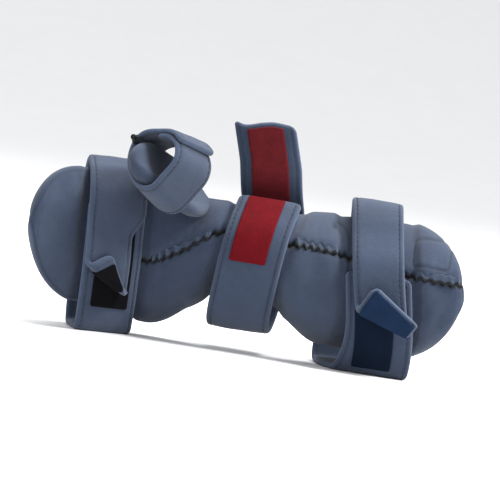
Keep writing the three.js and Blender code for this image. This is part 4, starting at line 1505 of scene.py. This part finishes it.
# %% Where the straps are sewn
SEW_SEAT = STRAP / 2 + 0.05
tab_top = finger.loop.length - 0.13 * FINGER_STRAP_WIDTH
tab_left, tab_right = -0.12 * FINGER_STRAP_WIDTH, 0.235 * FINGER_STRAP_WIDTH
tab_low = finger.loop.length + 0.28 * FINGER_STRAP_WIDTH
tab_rows = [
    running((tab_top, tab_left), (tab_top, tab_right)),
    running((tab_top, tab_left), (tab_low, tab_left)),
    running((tab_low, tab_left), (tab_low, tab_right)),
]
flap_end, flap_start = thumb.route.length - 5, thumb.route.length - 0.75 * THUMB_STRAP_WIDTH
flap_half = THUMB_STRAP_WIDTH / 2 - 6
flap_rows = [
    running((flap_start, -flap_half), (flap_start, flap_half)),
    running((flap_end, -flap_half), (flap_end, flap_half)),
    running((flap_start, -flap_half), (flap_end, -flap_half)),
    running((flap_start, flap_half), (flap_end, flap_half)),
]
finger_edges = edge_rows(finger_half, finger_shift, finger.fold["at"] - 12)
wrist_edges = edge_rows(same(wrist.half), same(0), wrist.route.length - 30)
forearm_edges = edge_rows(forearm_half, forearm_shift, forearm.fold["at"] - 14)
thumb_edges = edge_rows(same(thumb.half), same(0), flap_start)
stitch_rows = (
    ("finger_stitches", finger, finger_edges + tab_rows, SEW_SEAT),
    ("wrist_stitches", wrist, wrist_edges, SEW_SEAT),
    ("forearm_stitches", forearm, forearm_edges, SEW_SEAT),
    ("thumb_stitches", thumb, thumb_edges + flap_rows, THUMB_STRAP / 2),
)
stitches = [stitched(name, strap, rows, seat, THREAD) for name, strap, rows, seat in stitch_rows]

# %% [markdown]
# The gathers' free edge is overlocked: a dark thread goes in and out over it in a zigzag. The same bars
# serve, laid on the gathers' own surface.

# %% The overlock on the gathers
OVERLOCK = 1.9
OVERLOCK_OUT = 0.2
OVERLOCK_IN = 2.4
OVERLOCK_THREAD = 0.36


def overlock(start, end):
    """A zigzag of thread over the gathers' free edge: in and out once in each pitch."""
    x = np.arange(start + 1, end - 1, OVERLOCK)
    low = -RUFFLE_WIDTH / 2 - OVERLOCK_OUT + 0 * x
    high = -RUFFLE_WIDTH / 2 + OVERLOCK_IN + 0 * x
    down = np.stack([x, high, x + OVERLOCK / 2, low], -1)
    up = np.stack([x + OVERLOCK / 2, low, x + OVERLOCK, high], -1)
    return [down, up]


overlocked = sum((overlock(*stretch) for stretch in seam_stretches.values()), [])
overlock_seat = RUFFLE / 2 + 0.1
zigzag = stitched("seam_overlock", gathers, overlocked, overlock_seat, DARK_THREAD, OVERLOCK_THREAD)
stitches.append(zigzag)

# %% [markdown]
# A small dark knot of thread sits on the thumb strap's front edge. A small ball would look like a bead.
# So it is a trefoil: a tube round a curve that crosses itself three times. It sits at the point of the
# strap's edge that is nearest to its place in the photograph.

# %% The knot on the thumb strap's edge
KNOT_REACH = 1.05
KNOT_THREAD = 0.95


def thread_knot(name, place):
    """A trefoil: sin t + 2 sin 2t, cos t - 2 cos 2t, -sin 3t, with a round cut across its direction."""
    t = np.linspace(0, 2 * np.pi, 73)[:, None]
    line = np.stack([np.sin(t) + 2 * np.sin(2 * t), np.cos(t) - 2 * np.cos(2 * t), -np.sin(3 * t)], -1)
    way = np.stack([np.cos(t) + 4 * np.cos(2 * t), -np.sin(t) + 4 * np.sin(2 * t), -3 * np.cos(3 * t)], -1)
    way = way / np.linalg.norm(way, axis=-1, keepdims=True)
    first = np.cross(way, (0, 0, 1))
    first = first / np.linalg.norm(first, axis=-1, keepdims=True)
    second = np.cross(way, first)
    angle = np.linspace(0, 2 * np.pi, 10, endpoint=False)[None, :, None]
    tube = KNOT_REACH * line + KNOT_THREAD * (first * np.cos(angle) + second * np.sin(angle))
    local = np.stack([tube[..., 0], tube[..., 2], tube[..., 1]], -1)
    piece = shell(name, place + local)
    piece.data.materials.append(DARK_THREAD)
    return piece


rim_line = thumb(np.linspace(0, thumb.route.length, 400), thumb.half, 0.0)
seen = rim_line @ np.stack([PHOTO_RIGHT, PHOTO_UP], -1) / PHOTO_MM * (1, -1) + PHOTO_WRIST
knot_place = rim_line[np.argmin(np.linalg.norm(seen - KNOT_PIXEL, axis=1))]
stitches.append(thread_knot("thread_knot", knot_place))

# %% [markdown]
# ## What each piece stands for
# Every piece rides on the model's one body and hides the node that it replaces. The three gathered stretches
# are narrower than a sheet may be, and the stitches and the knot stand for no node.

# %% Riding and replacing
dressed = [
    (padded_cover, "padded_pan", "cover_fabric", 0.8),
    (thumb_rest, "padded_pan", "cover_fabric", 0.8),
    (finger_strap, "finger_strap", "strap_fabric", 0.5),
    (wrist_strap, "wrist_strap", "strap_fabric", 0.5),
    (forearm_strap, "forearm_strap", "strap_fabric", 0.5),
    (thumb_strap, "thumb_strap", "strap_fabric", 0.5),
]
for piece, node, slot, fill in dressed:
    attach(piece, "root")
    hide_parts(node)
taped = (
    ("finger_hook_patch", "black_hook", "finger_band"),
    ("finger_end_patch", "black_hook", "finger_band"),
    ("wrist_hook_patch", "bright_red_hook", "wrist_band"),
    ("wrist_end_patch", "dark_red_loop", "wrist_band"),
    ("forearm_hook_patch", "navy_hook", "forearm_band"),
    ("forearm_end_patch", "navy_hook", "forearm_band"),
)
for piece, (node, slot, carrier) in zip(patches, taped):
    wide, long = cut_sizes[piece.name]
    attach(piece, "root")
    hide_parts(node)
    wide * MM
    long * MM
    print(piece.name, "was cut", round(wide, 1), "by", round(long, 1), "mm")
for piece, node in zip(ruffles, ("seam_ruffle_palm", "seam_ruffle_forearm", "seam_ruffle_end")):
    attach(piece, "root")
    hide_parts(node)
for piece in stitches:
    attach(piece, "root")
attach(label, "root")
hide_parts("care_label")

# %% [markdown]
# ## Floor, light and camera
# A plane would show its edge in a low view, so a pale floor curves up far away all round. It is one disc
# whose rim rises smoothly.

# %% Stage
FLAT_FLOOR = 3.5
STAGE_REACH = 7.0
STAGE_HIGH = 1.5


def stage_floor():
    """A flat disc whose rim rises by the square of the way past the flat part."""
    radius = np.concatenate([[0.001], np.linspace(0.2, STAGE_REACH, 60)])[:, None]
    angle = np.linspace(0, 2 * np.pi, 96, endpoint=False)[None, :]
    rise = STAGE_HIGH * (np.clip(radius - FLAT_FLOOR, 0, None) / (STAGE_REACH - FLAT_FLOOR)) ** 2
    points = np.stack([radius * np.cos(angle), radius * np.sin(angle), rise + 0 * angle], -1)
    ids = np.arange(points.shape[0] * points.shape[1]).reshape(points.shape[:2])
    faces = [tuple(ids[0])] + [tuple(f) for f in merged_faces(ids)]
    floor = new_piece("floor", points.reshape(-1, 3), faces)
    f = Finish("floor_paper", roughness=0.9, specular=0.1)
    grain = f.noise(60, 2)
    floor.data.materials.append(f.finish(f.mix(grain, (0.74, 0.74, 0.75, 1), (0.77, 0.77, 0.77, 1))))
    return floor


stage_floor()


# %% [markdown]
# Most of the light is a pale, even surround. A lamp high on the forearm side and one above give the
# padding its lighter upper faces, and a weak one on the finger side keeps the shadows open. One sun would
# cast edges that are too hard for cloth.

# %% Light
LIT_PLACE = (0, 0, 0.08)


def softbox(name, place, size, power):
    """A round lamp of this size in metres that points at the splint."""
    light = bpy.data.lights.new(name, "AREA")
    light.shape = "DISK"
    light.size = size
    light.energy = power
    lamp = bpy.data.objects.new(name, light)
    bpy.context.scene.collection.objects.link(lamp)
    lamp.location = place
    lamp.rotation_euler = (Vector(LIT_PLACE) - Vector(place)).to_track_quat("-Z", "Y").to_euler()


softbox("key", (1.5, -0.5, 1.9), 0.7, 84)
softbox("fill", (-1.6, -1.2, 0.9), 1.2, 2)
softbox("top", (0.4, 0.45, 2.2), 1.1, 60)
world = bpy.data.worlds.new("studio")
world.use_nodes = True
world.node_tree.nodes["Background"].inputs["Color"].default_value = (0.98, 0.99, 1.0, 1)
world.node_tree.nodes["Background"].inputs["Strength"].default_value = 1.0
bpy.context.scene.world = world
bpy.context.scene.view_settings.view_transform = "Standard"

# %% [markdown]
# The camera stands a little above the splint's level on its palm side, so that it is above the floor, and
# is turned so that the forearm end hangs down to the right as in the photograph. It is placed by the
# photograph's scale, so nothing has to be fitted by eye.

# %% Camera
PHOTO_MIDDLE = (243, 124)
PHOTO_SIDE = 333
DISTANCE = 3000.0
ELEVATION = math.radians(3)
SENSOR = 36

aside, below = np.subtract(PHOTO_MIDDLE, PHOTO_WRIST) * PHOTO_MM
to_middle = aside * PHOTO_RIGHT - below * PHOTO_UP
aim = to_middle + SET_DOWN
eye = np.array([aim[0], -DISTANCE * math.cos(ELEVATION), DISTANCE * math.sin(ELEVATION)])
eye = eye + np.array([0, SET_DOWN[1], SET_DOWN[2]])
view = unit(aim - eye)
level = unit(np.cross(view, (0, 0, 1)))
rise = np.cross(level, view)
camera_right = level * math.cos(PHOTO_ROLL) + rise * math.sin(PHOTO_ROLL)
camera_up = np.cross(camera_right, view)
lens = bpy.data.cameras.new("camera")
lens.sensor_width = SENSOR
lens.lens = SENSOR * np.linalg.norm(aim - eye) / (PHOTO_SIDE * PHOTO_MM)
lens.clip_end = 50
camera = bpy.data.objects.new("camera", lens)
bpy.context.scene.collection.objects.link(camera)
turned = Matrix(np.stack([camera_right, camera_up, -view], -1).tolist()).to_4x4()
camera.matrix_world = Matrix.Translation(Vector(eye * MM)) @ turned
bpy.context.scene.camera = camera
print("camera at", eye, "lens", lens.lens)
